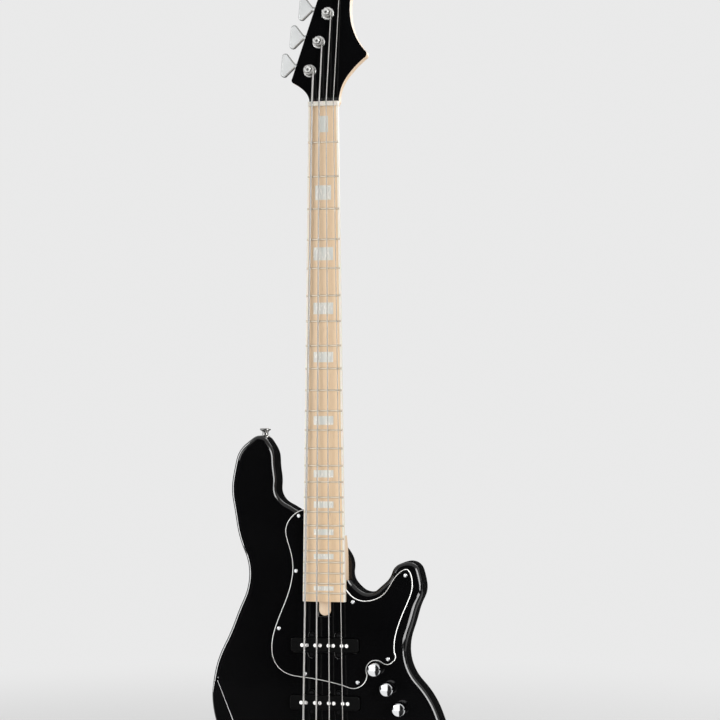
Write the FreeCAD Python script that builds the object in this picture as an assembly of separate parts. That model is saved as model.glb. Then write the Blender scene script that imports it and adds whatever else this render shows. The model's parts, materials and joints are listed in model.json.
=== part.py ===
"""Electric bass guitar: a bolt-on neck, two single-coil pickups and four open-gear tuners.

Millimetres. +Z runs up the neck, -Y looks out of the face, X = 0 is the centre of the strings.
Z = 0 is the headstock side of the nut, and Y = 0 is where the fretboard is glued to the neck.
Outlines are lists of (x, z), seen from the front.
"""
import FreeCAD, Part
import math
import os

from FreeCAD import Vector

# Scale and strings, in the order E, A, D, G
SCALE_LENGTH = 863.6
STRING_RADII = (1.35, 1.05, 0.80, 0.58)
NUT_SPACING = 9.7
BRIDGE_SPACING = 18.2
NUT_ACTION = 0.35
BRIDGE_RISE = 4.1
WIND_TURNS = (2, 2, 2, 2)
WIND_GAP = 0.6
WIND_SEAT_GAP = 0.2
WIND_CLEAR = 1.0
SADDLE_BEND = 30.0
NUT_BEND = 12.0

# Gaps between pieces, and how far a cutter runs past the face that it opens
PRESS_GAP = 0.02
RUNNING_GAP = 0.05
SLIP_GAP = 0.1
LOOSE_GAP = 0.4
PAST = 5.0
WIDE = 200.0

# Nut, fretboard and frets
NUT_THICK = 6.0
NUT_WIDTH = 40.6
NUT_CREST = 1.3
BOARD_LENGTH = 659.0
BOARD_END_WIDTH = 57.6
BOARD_THICK = 6.0
BOARD_RADIUS = 350.0
BINDING_WIDTH = 2.4
FRET_COUNT = 24
FRET_WIDTH = 2.6
FRET_HEIGHT = 1.1
FRET_INSET = 0.3
INLAY_FRETS = (1, 3, 5, 7, 9, 12, 15, 17, 19, 21, 24)
INLAY_WIDTHS = {1: 13.5, 3: 21.6}
INLAY_WIDTH = 27.0
INLAY_SHARE = 0.45
INLAY_DEPTH = 1.6

# Neck
NECK_DEPTH_NUT = 14.5
NECK_DEPTH_HEEL = 17.0
HEEL_DEPTH = 19.5
HEEL_START = -578.0
HEEL_FULL = -612.0
HEEL_RAMP_TOP = 11.0
HEEL_RAMP_MIDDLE = (17.3, -596.0)
SHAFT_OVERRUN = 10.0
TONGUE_WIDTH = 15.8
TONGUE_LENGTH = 19.0
TONGUE_THICK = 4.0
TONGUE_EDGE = 1.5
TRUSS_DEPTH = 9.0
TRUSS_RADIUS = 2.5
TRUSS_NUT_RADIUS = 4.2
TRUSS_NUT_LENGTH = 13.0
TRUSS_NUT_SEAT = 3.0
TRUSS_KEY = 4.0
TRUSS_SOCKET = 5.0
TRUSS_TOP = -20.0

# Headstock
HEAD_FACE = 4.0
HEAD_THICK = 14.0
VENEER_THICK = 0.8
HEAD_RAMP = 14.0
HEAD_RAMP_MIDDLE = (0.9, 7.7)
HEAD_BACK_RAMP = 42.0
HEAD_LEFT_FLARE = [(-20.3, 0.0), (-24.5, 12.0), (-34.0, 21.5), (-42.5, 27.0)]
HEAD_CORNER = [(-42.5, 27.0), (-45.4, 29.7), (-45.0, 33.6)]
HEAD_LEFT_TOP = (1.5, 171.0)
HEAD_END = [(1.5, 171.0), (8.0, 186.0), (22.0, 195.0), (38.0, 190.0), (44.0, 174.0), (40.5, 157.0)]
HEAD_RIGHT_SIDE = [(40.5, 157.0), (34.6, 122.0), (39.5, 94.5), (55.0, 68.0)]
HEAD_RIGHT_TIP = [(55.0, 68.0), (57.3, 62.0), (53.8, 58.0)]
HEAD_RIGHT_FLARE = [(53.8, 58.0), (34.0, 38.5), (23.0, 20.0), (20.3, 0.0)]

# Tuners
POST_FIRST = (-20.3, 43.3)
POST_STEP = (12.4, 38.1)
POST_RADIUS = 4.75
POST_WAIST = 4.0
POST_TOP = -13.0
POST_SLOT = (3.4, 4.5)
POST_SLOT_TURN = 50.0
POST_HOLE = 1.7
POST_HOLE_DEPTH = 13.0
POST_CROWN = 0.6
POST_HEAD = 1.8
POST_TAPER = 1.4
BUSH_FLANGE_RADIUS = 8.6
BUSH_FLANGE_THICK = 1.6
BUSH_CHAMFER = 0.8
BUSH_RADIUS = 7.0
BUSH_LENGTH = 11.0
KEY_TILT = 5.0
WORM_OFFSET = 9.0
WHEEL_TEETH = 20
WHEEL_PITCH_RADIUS = 6.0
WHEEL_THICK = 4.6
WORM_PITCH_RADIUS = WORM_OFFSET - WHEEL_PITCH_RADIUS
TOOTH_ADDENDUM = 0.55
TOOTH_DEDENDUM = 0.75
TOOTH_BACKLASH = 0.30
TOOTH_FLANK = 20.0
THREAD_BURY = 0.15
WORM_LENGTH = 10.0
WHEEL_PHASE = -1.8
WHEEL_SCREW = (1.5, 6.0)
WHEEL_SCREW_HEAD = (3.8, 3.0, 1.6)
KEY_SHAFT_RADIUS = 2.2
KEY_NECK_START = 24.0
KEY_APEX = 27.0
KEY_APEX_HALF = 3.0
KEY_OUTER = 46.0
KEY_HALF_HEIGHT = 16.3
KEY_CORNER = 4.8
KEY_THICK = 7.0
KEY_EDGE = 2.0
KEY_COLLAR = 3.4
KEY_COLLAR_END = 33.0
KEY_SHAFT_END = 35.0
KEY_STUB = 0.6
TUNER_PLATE_THICK = 1.6
TUNER_PLATE = (34.0, 23.0)
TUNER_PLATE_LOW = -9.5
TUNER_PLATE_CORNER = 3.0
TUNER_EAR_THICK = 2.6
TUNER_EAR_PLACE = 6.4
TUNER_EAR_RADIUS = 4.5
GEAR_HEIGHT = 6.6

# Body
BODY_TOP = 3.5
BODY_THICK = 42.0
EDGE_RADIUS = 8.0
BODY_OUTLINE = [
    (-45, -542), (-63, -530), (-68.5, -495), (-75, -460), (-88, -446), (-112, -457), (-129.5, -502),
    (-124, -564), (-107, -637), (-126, -692), (-154.5, -763), (-158.5, -800), (-137, -870), (-80, -943),
    (0, -974), (85, -974), (150, -934), (170, -880), (152, -812), (109, -729), (121, -679),
    (131.5, -641), (116, -612.5), (99, -615), (81, -639), (55, -653.8), (37.5, -642), (30, -606),
    (12, -584), (-20, -556),
]
ARM_CREASE = [(-150.0, -772.0), (-84.0, -932.0)]
ARM_TILT = 14.0
ARM_EDGE = 5.0
BELLY_CENTRE = (-190.0, -690.0)
BELLY_RADIUS = 240.0
BELLY_RISE = 215.0
BELLY_EDGE = 5.0
POCKET_GAP = 0.3
POCKET_TOP = -530.0
POCKET_OPEN_Z = -637.0
ACCESS_WIDTH = 17.6
ACCESS_END = -690.0
ACCESS_FLOOR = 15.0
BOLT_PLACES = [(-20.0, -612.0), (20.0, -622.0), (-20.0, -652.0), (20.0, -652.0)]
BOLT_RADIUS = 2.5
BOLT_HEAD_RADIUS = 4.5
BOLT_HEAD_DEPTH = 2.05
BOLT_GRIP = 10.0
FERRULE_RADIUS = 7.0
FERRULE_DEPTH = 3.0
FERRULE_SUNK = 0.3

# Pickguard
GUARD_THICK = 2.5
GUARD_GAP = 0.4
GUARD_BEVEL = 1.9
GUARD_TONGUE_GAP = 1.5
GUARD_BASS_EDGE = [
    (-27.7, -543), (-42, -549), (-54.4, -568), (-48.8, -597), (-45, -622), (-52, -657), (-66, -692),
    (-74, -724), (-69.5, -748), (-55, -761.6), (-29, -767), (7, -772.5), (33, -779.5),
]
GUARD_LOWER_CORNER = [(33, -779.5), (45.5, -778.5), (57.5, -760.5)]
GUARD_NOTCH = [(57.5, -760.5), (60.5, -745.2), (76.5, -744.8)]
GUARD_KNOB_LIP = [(76.5, -744.8), (84.0, -747.4), (92.0, -743.2)]
GUARD_CORNER = [(92.0, -743.2), (95.8, -738.0), (94.5, -731.0)]
GUARD_TREBLE_EDGE = [
    (94.5, -731), (97.5, -702), (112.5, -664), (118.6, -637), (111, -620.5), (97, -628), (79, -653.5),
    (55, -663), (28.7, -648),
]
# Pickups: name, place along the strings, case length, pole spacing per string
PICKUPS = [("neck", -723.0, 92.0, 18.0), ("bridge", -799.0, 94.5, 18.9)]
PICKUP_WIDTH = 18.5
PICKUP_TOP = -3.0
PICKUP_DEPTH = 17.0
PICKUP_WALL = 1.6
PICKUP_ROOF = 2.0
PICKUP_EDGE = 1.2
PICKUP_END_RADIUS = 4.0
PICKUP_EAR_X = 18.2
PICKUP_EAR_RADIUS = 4.4
PICKUP_EAR_OUT = 3.0
PICKUP_EAR_THICK = 3.0
PICKUP_EAR_DROP = 0.6
PICKUP_EAR_ROOT = 0.6
COIL_GAP = 0.6
COIL_FOOT = 1.0
POLE_RADIUS = 2.4
POLE_PAIR = 6.6
POLE_PROUD = 0.8
ROUT_GAP = 0.8
ROUT_FLOOR = 24.0

# Controls
KNOB_PLACES = [(68.6, -752.7), (85.2, -778.2), (101.5, -804.0)]
KNOB_RADIUS = 8.85
KNOB_TOP = -15.0
KNOB_BOTTOM = 0.2
KNOB_DOME = 1.9
KNOB_EDGE = 1.0
KNOB_EDGE_DEPTH = 3.2
KNOB_WALL = 1.6
KNOB_FOOT = 3.0
KNOB_ROOF = 3.0
KNOB_HUB = 5.5
POT_SHAFT_RADIUS = 3.0
POT_BUSH_RADIUS = 4.7
POT_CAN_RADIUS = 12.0
POT_CAN_TOP = 12.0
POT_CAN_DEPTH = 9.0
POT_STEP_RADIUS = 8.0
POT_TABS = (16.0, 1.2, 5.0)
POT_TAB_OUT = 0.5
POT_NUT_ACROSS = 14.0
POT_NUT_THICK = 2.2
POT_WASHER_THICK = 0.6
POT_WASHER_RADIUS = 8.4
CAVITY_TOP = 9.5
CAVITY_ENDS = [(68.6, -752.7), (116.0, -826.0)]
CAVITY_RADIUS = 19.0
COVER_RADIUS = 24.0
COVER_THICK = 2.5

# Output jack, in the side of the treble bout
JACK_PLACE = (165.0, -848.0)
JACK_TURN = 14.0
JACK_BORE = 3.2
JACK_BARREL_RADIUS = 9.0
JACK_BARREL_LENGTH = 36.0
JACK_FLANGE_RADIUS = 12.0
JACK_FLANGE_THICK = 2.0
JACK_COLLAR = [(0, 0), (6.0, 0), (6.0, 1.6), (5.0, 2.4), (0, 2.4)]
JACK_BORE_LENGTH = 30.0
JACK_WIRE_RADIUS = 4.0
JACK_WIRE_WAY = (-0.85, 0.0, 0.5)

# Strap buttons: place and outward direction along Z
STRAP_PLACES = [(-88.0, -447.5, 1), (0.0, -972.5, -1)]
STRAP_SEAT_RADIUS = 7.0
STRAP_HEIGHT = 12.0
STRAP_FOOT = [(0, 0), (6.4, 0), (6.4, 1.2)]
STRAP_WAIST = [(4.2, 3.0), (3.8, 6.0), (5.0, 8.4)]
STRAP_HEAD = [(7.2, 9.6), (7.2, 11.0), (6.4, 12.0)]
STRAP_SINK_RADIUS = 3.7
STRAP_SINK_DEPTH = 1.7

# Bridge
BRIDGE_HALF_WIDTH = 41.0
BRIDGE_FRONT = -858.0
BRIDGE_TAIL = -922.0
BRIDGE_PLATE = 3.0
BRIDGE_WALL = 4.0
BRIDGE_WALL_TOP = -13.5
BRIDGE_CORNER = 4.0
SADDLE_WIDTH = 16.8
SADDLE_LENGTH = 12.0
SADDLE_BASE = -0.4
SADDLE_SHOULDER = 2.4
SADDLE_SEAT = 0.4
STRING_HOLE_Y = -8.8
STRING_HOLE_RADIUS = 2.2
LENGTH_SCREW_Y = -2.9
LENGTH_SCREW_RADIUS = 1.5
LENGTH_SCREW_HEAD = [(0, -2.4), (1.8, -2.4), (2.5, -1.7), (2.5, 0)]
LENGTH_SCREW_END = 2.0
HEIGHT_SCREW_SHIFT = (6.3, 3.6)
HEIGHT_SCREW_RADIUS = 1.2
BALL_RADIUS = 2.9
BALL_LENGTH = 5.0

# Values that follow from the ones above
BODY_BACK = BODY_TOP + BODY_THICK
BOARD_START = -NUT_THICK
BOARD_END = BOARD_START - BOARD_LENGTH
SADDLE_LINE = BOARD_START - SCALE_LENGTH
GUARD_TOP = BODY_TOP - GUARD_THICK
BRIDGE_FLOOR = BODY_TOP - BRIDGE_PLATE
HEAD_BACK = HEAD_FACE + HEAD_THICK
GEAR_LEVEL = HEAD_BACK + TUNER_PLATE_THICK + GEAR_HEIGHT
FACE_OUT = Vector(0, -1, 0)
INTO_BODY = Vector(0, 1, 0)
UP_NECK = Vector(0, 0, 1)
KEY_WAY = Vector(1, 0, 0)


def points(outline, y):
    return [Vector(x, y, z) for x, z in outline]


def line(start, end, y):
    return Part.LineSegment(Vector(start[0], y, start[1]), Vector(end[0], y, end[1])).toShape()


def arc(three, y):
    return Part.Arc(*points(three, y)).toShape()


def curve(outline, y):
    spline = Part.BSplineCurve()
    spline.interpolate(Points=points(outline, y))
    return spline.toShape()


def slab(edges, depth):
    """The plate inside these edges, as thick as depth, towards the back."""
    return Part.Face(Part.Wire(edges)).extrude(Vector(0, depth, 0))


def sheet(corners, y, depth):
    """A plate with straight sides."""
    ring = points(corners + corners[:1], y)
    return Part.Face(Part.makePolygon(ring)).extrude(Vector(0, depth, 0))


def rod(place, y, radius, depth):
    """A round rod or drill that runs into the body from the level y."""
    return Part.makeCylinder(radius, depth, Vector(place[0], y, place[1]), INTO_BODY)


def turned(profile, base, axis):
    """A turned piece: profile is a list of (radius, height along the axis)."""
    ring = [Vector(r, 0, h) for r, h in profile]
    blank = Part.Face(Part.makePolygon(ring + ring[:1])).revolve(Vector(0, 0, 0), UP_NECK, 360)
    blank.Placement = FreeCAD.Placement(base, FreeCAD.Rotation(UP_NECK, axis))
    return blank


def capsule(ends, radius, y, depth):
    """A long plate with round ends."""
    (x0, z0), (x1, z1) = ends
    run = Vector(x1 - x0, 0, z1 - z0).normalize()
    side = Vector(run.z, 0, -run.x) * radius
    tip = run * radius
    first, last = Vector(x0, y, z0), Vector(x1, y, z1)
    edges = [
        Part.LineSegment(first + side, last + side).toShape(),
        Part.Arc(last + side, last + tip, last - side).toShape(),
        Part.LineSegment(last - side, first - side).toShape(),
        Part.Arc(first - side, first - tip, first + side).toShape(),
    ]
    return slab(edges, depth)


def hexagon(across, place, y, depth):
    reach = across / math.sqrt(3)
    corners = []
    for k in range(6):
        turn = math.radians(60 * k)
        corners.append((place[0] + reach * math.cos(turn), place[1] + reach * math.sin(turn)))
    return sheet(corners, y, depth)


def board_half(z):
    share = (BOARD_START - z) / BOARD_LENGTH
    return (NUT_WIDTH + (BOARD_END_WIDTH - NUT_WIDTH) * share) / 2


def board_sheet(high, low, grow, y, depth):
    """A plate as wide as the fretboard, wider by grow on each side, between two places on the neck."""
    high_half, low_half = board_half(high) + grow, board_half(low) + grow
    corners = [(-high_half, high), (high_half, high), (low_half, low), (-low_half, low)]
    return sheet(corners, y, depth)


def fret_z(number):
    return BOARD_START - SCALE_LENGTH * (1 - 2 ** (-number / 12))


def save(node, *solids):
    Part.makeCompound(list(solids)).exportStep(f"parts/{node}.step")


# Strings
def string_x(number, spacing):
    return (number - 1.5) * spacing


def string_at(number, z):
    """Centre of a string on its straight run between the nut and the saddle."""
    share = (BOARD_START - z) / SCALE_LENGTH
    spacing = NUT_SPACING + (BRIDGE_SPACING - NUT_SPACING) * share
    x = string_x(number, spacing)
    nut_x = string_x(number, NUT_SPACING)
    nut_y = -BOARD_THICK - FRET_HEIGHT - NUT_ACTION + nut_x ** 2 / (2 * BOARD_RADIUS)
    bridge_x = string_x(number, BRIDGE_SPACING)
    bridge_y = nut_y - BRIDGE_RISE + (bridge_x ** 2 - nut_x ** 2) / (2 * BOARD_RADIUS)
    return Vector(x, nut_y + (bridge_y - nut_y) * share - STRING_RADII[number], z)


def post_place(number):
    return (POST_FIRST[0] + POST_STEP[0] * number, POST_FIRST[1] + POST_STEP[1] * number)


def biarc(start, start_way, end, end_way):
    """Two arcs, smooth where they meet, between two points with given directions."""
    chord = end - start
    ways = start_way + end_way
    spread = 2 * (1 - start_way.dot(end_way))
    along = chord.dot(ways)
    reach = (-along + math.sqrt(along ** 2 + spread * chord.dot(chord))) / spread
    middle = (start + start_way * reach + end - end_way * reach) * 0.5
    middle_way = (end - end_way * reach - start - start_way * reach).normalize()
    return [tangent_arc(start, start_way, middle), tangent_arc(middle, middle_way, end)]


def tangent_arc(start, way, end):
    """The arc that leaves start along way and ends at end."""
    chord = end - start
    across = chord - way * chord.dot(way)
    radius = chord.dot(chord) / (2 * across.Length)
    centre = start + across.normalize() * radius
    spoke = ((start - centre) + (end - centre)).normalize() * radius
    return Part.Arc(start, centre + spoke, end).toShape()


def bend(before, corner, after, radius):
    """Start, edge and end of an arc that rounds a corner of the string's path."""
    back = (before - corner).normalize()
    ahead = (after - corner).normalize()
    turn = math.pi - math.acos(back.dot(ahead))
    reach = radius * math.tan(turn / 2)
    start, end = corner + back * reach, corner + ahead * reach
    return start, tangent_arc(start, back * -1, end), end


def rounded(corners, radii):
    """Edges of a closed ring of straight sides, with each corner rounded by its radius."""
    count = len(corners)
    turns = []
    for k, corner in enumerate(corners):
        if radii[k]:
            turns.append(bend(corners[k - 1], corner, corners[(k + 1) % count], radii[k]))
        else:
            turns.append((corner, None, corner))
    edges = []
    for k, (_, turn, end) in enumerate(turns):
        if turn:
            edges.append(turn)
        edges.append(Part.LineSegment(end, turns[(k + 1) % count][0]).toShape())
    return edges


def ring_way(before, here, after):
    """Direction, at a point, of the circle through it and its two neighbours."""
    back, ahead = here - before, after - here
    share = ahead.Length / back.Length
    return (back * share + ahead * (1 / share)).normalize()


def arc_ring(outline, y):
    """A smooth closed ring through the points, made of arcs that meet without a corner."""
    spots = points(outline, y)
    count = len(spots)
    ways = [ring_way(spots[k - 1], spots[k], spots[(k + 1) % count]) for k in range(count)]
    edges = []
    for k in range(count):
        ahead = (k + 1) % count
        edges += biarc(spots[k], ways[k], spots[ahead], ways[ahead])
    return edges


def winding(number):
    """Points and directions at each quarter turn of the string round its post, nut side first."""
    radius = POST_WAIST + WIND_SEAT_GAP + STRING_RADII[number]
    pitch = 2 * STRING_RADII[number] + WIND_GAP
    x, z = post_place(number)
    nut = string_at(number, 0)
    away = math.hypot(nut.x - x, nut.z - z)
    first_turn = math.atan2(nut.z - z, nut.x - x) + math.acos(radius / away)
    low = HEAD_FACE - VENEER_THICK - BUSH_FLANGE_THICK - WIND_CLEAR - STRING_RADII[number]
    stops = []
    for quarter in range(4 * WIND_TURNS[number] + 1):
        turn = first_turn + quarter * math.pi / 2
        place = Vector(x + radius * math.cos(turn), low - pitch * quarter / 4, z + radius * math.sin(turn))
        way = Vector(-radius * math.sin(turn), -pitch / (2 * math.pi), radius * math.cos(turn))
        stops.append((place, way.normalize()))
    return stops


def least_gap(stops, number):
    """Least gap between the turns of a winding, measured on points a quarter turn apart."""
    gaps = []
    for k, (place, _) in enumerate(stops):
        for other, _ in stops[k + 3:]:
            gaps.append((other - place).Length - 2 * STRING_RADII[number])
    return min(gaps)


def string(number):
    radius = STRING_RADII[number]
    stops = winding(number)
    nut_point = string_at(number, 0)
    drop = string_at(number, SADDLE_LINE - SADDLE_LENGTH)
    hole = Vector(drop.x, STRING_HOLE_Y, BRIDGE_TAIL + BRIDGE_WALL / 2)
    tail = hole + (hole - drop).normalize() * (BRIDGE_WALL / 2 + BALL_RADIUS + SLIP_GAP)
    post_point = stops[0][0]
    drop_start, drop_arc, drop_end = bend(tail, drop, nut_point, SADDLE_BEND)
    nut_start, nut_arc, nut_end = bend(drop, nut_point, post_point, NUT_BEND)
    path = [
        Part.LineSegment(tail, drop_start).toShape(),
        drop_arc,
        Part.LineSegment(drop_end, nut_start).toShape(),
        nut_arc,
        Part.LineSegment(nut_end, post_point).toShape(),
    ]
    run_way = (post_point - nut_end).normalize()
    ways = [run_way] + [way for _, way in stops[1:]]
    for k in range(len(stops) - 1):
        path += biarc(stops[k][0], ways[k], stops[k + 1][0], ways[k + 1])
    end_place, end_way = stops[-1]
    path.append(Part.LineSegment(end_place, end_place + end_way * 2 * radius).toShape())
    section = Part.Wire(Part.makeCircle(radius, tail, drop_start - tail))
    tube = Part.Wire(path).makePipeShell([section], True, False)
    length = sum(edge.Length for edge in path)
    print(f"string {number}: volume share {tube.Volume / (math.pi * radius ** 2 * length):.4f},"
          f" least gap {least_gap(stops, number):.2f}, valid {tube.isValid()}")
    ball = Part.makeCylinder(BALL_RADIUS, BALL_LENGTH, tail - Vector(0, BALL_LENGTH / 2, 0), INTO_BODY)
    return tube.fuse(ball)


# Fretboard, nut and frets
def board_blank(inset):
    """The fretboard between its ends, drawn in by inset on each side."""
    crown = Part.makeCylinder(
        BOARD_RADIUS, BOARD_LENGTH, Vector(0, BOARD_RADIUS - BOARD_THICK, BOARD_END), UP_NECK)
    return board_sheet(BOARD_START, BOARD_END, -inset, -2 * BOARD_THICK, 2 * BOARD_THICK).common(crown)


def inlay_blocks(blank):
    blocks = []
    for number in INLAY_FRETS:
        high, low = fret_z(number - 1), fret_z(number)
        width = INLAY_WIDTHS.get(number, INLAY_WIDTH)
        height = INLAY_SHARE * (high - low)
        corner = Vector(-width / 2, -BOARD_THICK - PAST, (high + low - height) / 2)
        blocks.append(Part.makeBox(width, PAST + INLAY_DEPTH, height, corner).common(blank))
    return blocks


def fretboard():
    whole = board_blank(0)
    inner = board_blank(BINDING_WIDTH)
    blocks = inlay_blocks(inner)
    save("fretboard", inner.cut(blocks))
    save("fretboard_binding", *whole.cut(inner).Solids)
    save("inlay_blocks", *blocks)


def frets():
    """Each fret is a crown section turned about the axis of the fretboard's radius."""
    axis = Vector(0, BOARD_RADIUS - BOARD_THICK, 0)
    foot = -BOARD_THICK
    wires = []
    for number in range(1, FRET_COUNT + 1):
        z = fret_z(number)
        left = Vector(0, foot, z - FRET_WIDTH / 2)
        right = Vector(0, foot, z + FRET_WIDTH / 2)
        crown = Part.Arc(left, Vector(0, foot - FRET_HEIGHT, z), right).toShape()
        section = Part.Face(Part.Wire([crown, Part.LineSegment(right, left).toShape()]))
        reach = math.degrees(math.asin((board_half(z) - FRET_INSET) / BOARD_RADIUS))
        section.rotate(axis, UP_NECK, -reach)
        wires.append(section.revolve(axis, UP_NECK, 2 * reach))
    save("frets", *wires)


def nut():
    top = -BOARD_THICK - FRET_HEIGHT - NUT_ACTION - NUT_CREST
    blank = Part.makeBox(NUT_WIDTH, -top, NUT_THICK, Vector(-NUT_WIDTH / 2, top, BOARD_START))
    crown = Part.makeCylinder(
        BOARD_RADIUS, NUT_THICK, Vector(0, BOARD_RADIUS + top, BOARD_START), UP_NECK)
    bone = blank.common(crown)
    slots = []
    for number, radius in enumerate(STRING_RADII):
        low, high = string_at(number, BOARD_START - 1), string_at(number, 1)
        half = Vector(radius + RUNNING_GAP, 0, 0)
        floor = Vector(0, radius + RUNNING_GAP, 0)
        mouth = Vector(0, -NUT_THICK, 0)
        edges = [
            Part.Arc(low - half, low + floor, low + half).toShape(),
            Part.LineSegment(low + half, low + half + mouth).toShape(),
            Part.LineSegment(low + half + mouth, low - half + mouth).toShape(),
            Part.LineSegment(low - half + mouth, low - half).toShape(),
        ]
        slots.append(Part.Face(Part.Wire(edges)).extrude(high - low))
    save("nut", bone.cut(slots))


# Neck
def neck_section(z, depth):
    half = board_half(z)
    ends = Vector(-half, 0, z), Vector(half, 0, z)
    back = Part.Arc(ends[1], Vector(0, depth, z), ends[0]).toShape()
    return Part.Wire([Part.LineSegment(*ends).toShape(), back])


def neck_shaft():
    high = neck_section(SHAFT_OVERRUN, NECK_DEPTH_NUT)
    low = neck_section(HEEL_FULL - SHAFT_OVERRUN, NECK_DEPTH_HEEL)
    return Part.makeLoft([high, low], True, True)


def neck_heel():
    """The square heel block, with a curved ramp where it leaves the round shaft."""
    wide = BOARD_END_WIDTH
    ramp = [Vector(-wide, HEEL_DEPTH, HEEL_FULL), Vector(-wide, *HEEL_RAMP_MIDDLE),
            Vector(-wide, HEEL_RAMP_TOP, HEEL_START)]
    base = Vector(-wide, 0, BOARD_END)
    edges = [
        Part.LineSegment(base, Vector(-wide, HEEL_DEPTH, BOARD_END)).toShape(),
        Part.LineSegment(Vector(-wide, HEEL_DEPTH, BOARD_END), ramp[0]).toShape(),
        Part.Arc(*ramp).toShape(),
        Part.LineSegment(ramp[2], Vector(-wide, 0, HEEL_START)).toShape(),
        Part.LineSegment(Vector(-wide, 0, HEEL_START), base).toShape(),
    ]
    block = Part.Face(Part.Wire(edges)).extrude(Vector(2 * wide, 0, 0))
    return block.common(board_sheet(HEEL_START, BOARD_END, 0, 0, HEEL_DEPTH))


def neck_tongue():
    """The short tongue past the end of the fretboard, over the truss rod nut."""
    half = TONGUE_WIDTH / 2
    turn = BOARD_END - TONGUE_LENGTH + half
    start = BOARD_END + 1
    edges = [
        line((-half, start), (-half, turn), 0),
        arc([(-half, turn), (0, turn - half), (half, turn)], 0),
        line((half, turn), (half, start), 0),
        line((half, start), (-half, start), 0),
    ]
    tongue = slab(edges, TONGUE_THICK)
    rim = [e for e in tongue.Edges if e.BoundBox.YMax < 0.01 and e.BoundBox.ZMin < BOARD_END - 1]
    return tongue.makeFillet(TONGUE_EDGE, rim)


def head_edges(y):
    return [
        line((NUT_WIDTH / 2, 0), (-NUT_WIDTH / 2, 0), y),
        curve(HEAD_LEFT_FLARE, y),
        arc(HEAD_CORNER, y),
        line(HEAD_CORNER[2], HEAD_LEFT_TOP, y),
        curve(HEAD_END, y),
        curve(HEAD_RIGHT_SIDE, y),
        arc(HEAD_RIGHT_TIP, y),
        curve(HEAD_RIGHT_FLARE, y),
    ]


def head_space(level, thick):
    """The space behind the headstock's face: it ramps down from the nut, then runs flat."""
    x = -WIDE / 2
    start = Vector(x, level - HEAD_FACE, 0)
    foot = Vector(x, level, HEAD_RAMP)
    middle = Vector(x, level - HEAD_RAMP_MIDDLE[0], HEAD_RAMP_MIDDLE[1])
    end = Vector(x, level, WIDE)
    down = Vector(0, thick, 0)
    edges = [
        Part.Arc(start, middle, foot).toShape(),
        Part.LineSegment(foot, end).toShape(),
        Part.LineSegment(end, end + down).toShape(),
    ]
    if thick < HEAD_FACE:
        edges += [
            Part.LineSegment(end + down, foot + down).toShape(),
            Part.Arc(foot + down, middle + down, start + down).toShape(),
        ]
        last = start + down
    else:
        last = Vector(x, level + thick, 0)
        edges.append(Part.LineSegment(end + down, last).toShape())
    edges.append(Part.LineSegment(last, start).toShape())
    return Part.Face(Part.Wire(edges)).extrude(Vector(WIDE, 0, 0))


def headstock():
    blank = slab(head_edges(-PAST), HEAD_BACK + PAST).common(head_space(HEAD_FACE, HEAD_THICK))
    drop = HEAD_BACK - NECK_DEPTH_NUT
    radius = (HEAD_BACK_RAMP ** 2 + drop ** 2) / (2 * drop)
    hollow = Part.makeCylinder(
        radius, WIDE, Vector(-WIDE / 2, HEAD_BACK + radius - drop, 0), Vector(1, 0, 0))
    low_end = Part.makeBox(WIDE, WIDE, HEAD_BACK_RAMP, Vector(-WIDE / 2, 0, 0))
    return blank.cut(hollow.common(low_end))


def neck():
    wood = neck_shaft().fuse([neck_heel(), neck_tongue(), headstock()]).removeSplitter()
    channel = Part.makeCylinder(
        TRUSS_RADIUS + RUNNING_GAP, BOARD_LENGTH, Vector(0, TRUSS_DEPTH, BOARD_END - 1), UP_NECK)
    nut_room = Part.makeCylinder(
        TRUSS_NUT_RADIUS + LOOSE_GAP, TRUSS_NUT_SEAT + 2, Vector(0, TRUSS_DEPTH, BOARD_END - 1), UP_NECK)
    bolt_top = HEEL_DEPTH - BOLT_GRIP - PAST
    drills = [rod(place, bolt_top, BOLT_RADIUS + RUNNING_GAP, HEEL_DEPTH) for place in BOLT_PLACES]
    for number in range(len(STRING_RADII)):
        drills.append(rod(post_place(number), -PAST, BUSH_RADIUS + RUNNING_GAP, HEAD_BACK + 2 * PAST))
    wood = wood.cut([channel, nut_room] + drills)
    ramp_room = slab(head_edges(-PAST), 4 * PAST).cut(head_space(HEAD_FACE, 2 * HEAD_BACK))
    save("neck", max(wood.cut(ramp_room).Solids, key=lambda solid: solid.Volume))


def headstock_veneer():
    face = slab(head_edges(-PAST), 4 * PAST).common(head_space(HEAD_FACE - VENEER_THICK, VENEER_THICK))
    drills = []
    for number in range(len(STRING_RADII)):
        drills.append(rod(post_place(number), -PAST, BUSH_RADIUS + RUNNING_GAP, 4 * PAST))
    save("headstock_veneer", face.cut(drills))


def truss_rod():
    low = Vector(0, TRUSS_DEPTH, BOARD_END + TRUSS_NUT_SEAT - TRUSS_NUT_LENGTH)
    floor = low + UP_NECK * (TRUSS_SOCKET + LOOSE_GAP)
    end = floor + UP_NECK * LOOSE_GAP
    save("truss_rod", Part.makeCylinder(TRUSS_RADIUS, TRUSS_TOP - end.z, end, UP_NECK))
    barrel = Part.makeCylinder(TRUSS_NUT_RADIUS, TRUSS_NUT_LENGTH, low, UP_NECK)
    bore = Part.makeCylinder(TRUSS_RADIUS + RUNNING_GAP, TRUSS_NUT_LENGTH, floor, UP_NECK)
    socket = hexagon(TRUSS_KEY, (0, 0), 0, TRUSS_SOCKET)
    socket.Placement = FreeCAD.Placement(low, FreeCAD.Rotation(INTO_BODY, UP_NECK))
    save("truss_rod_nut", barrel.cut([bore, socket]))


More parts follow.
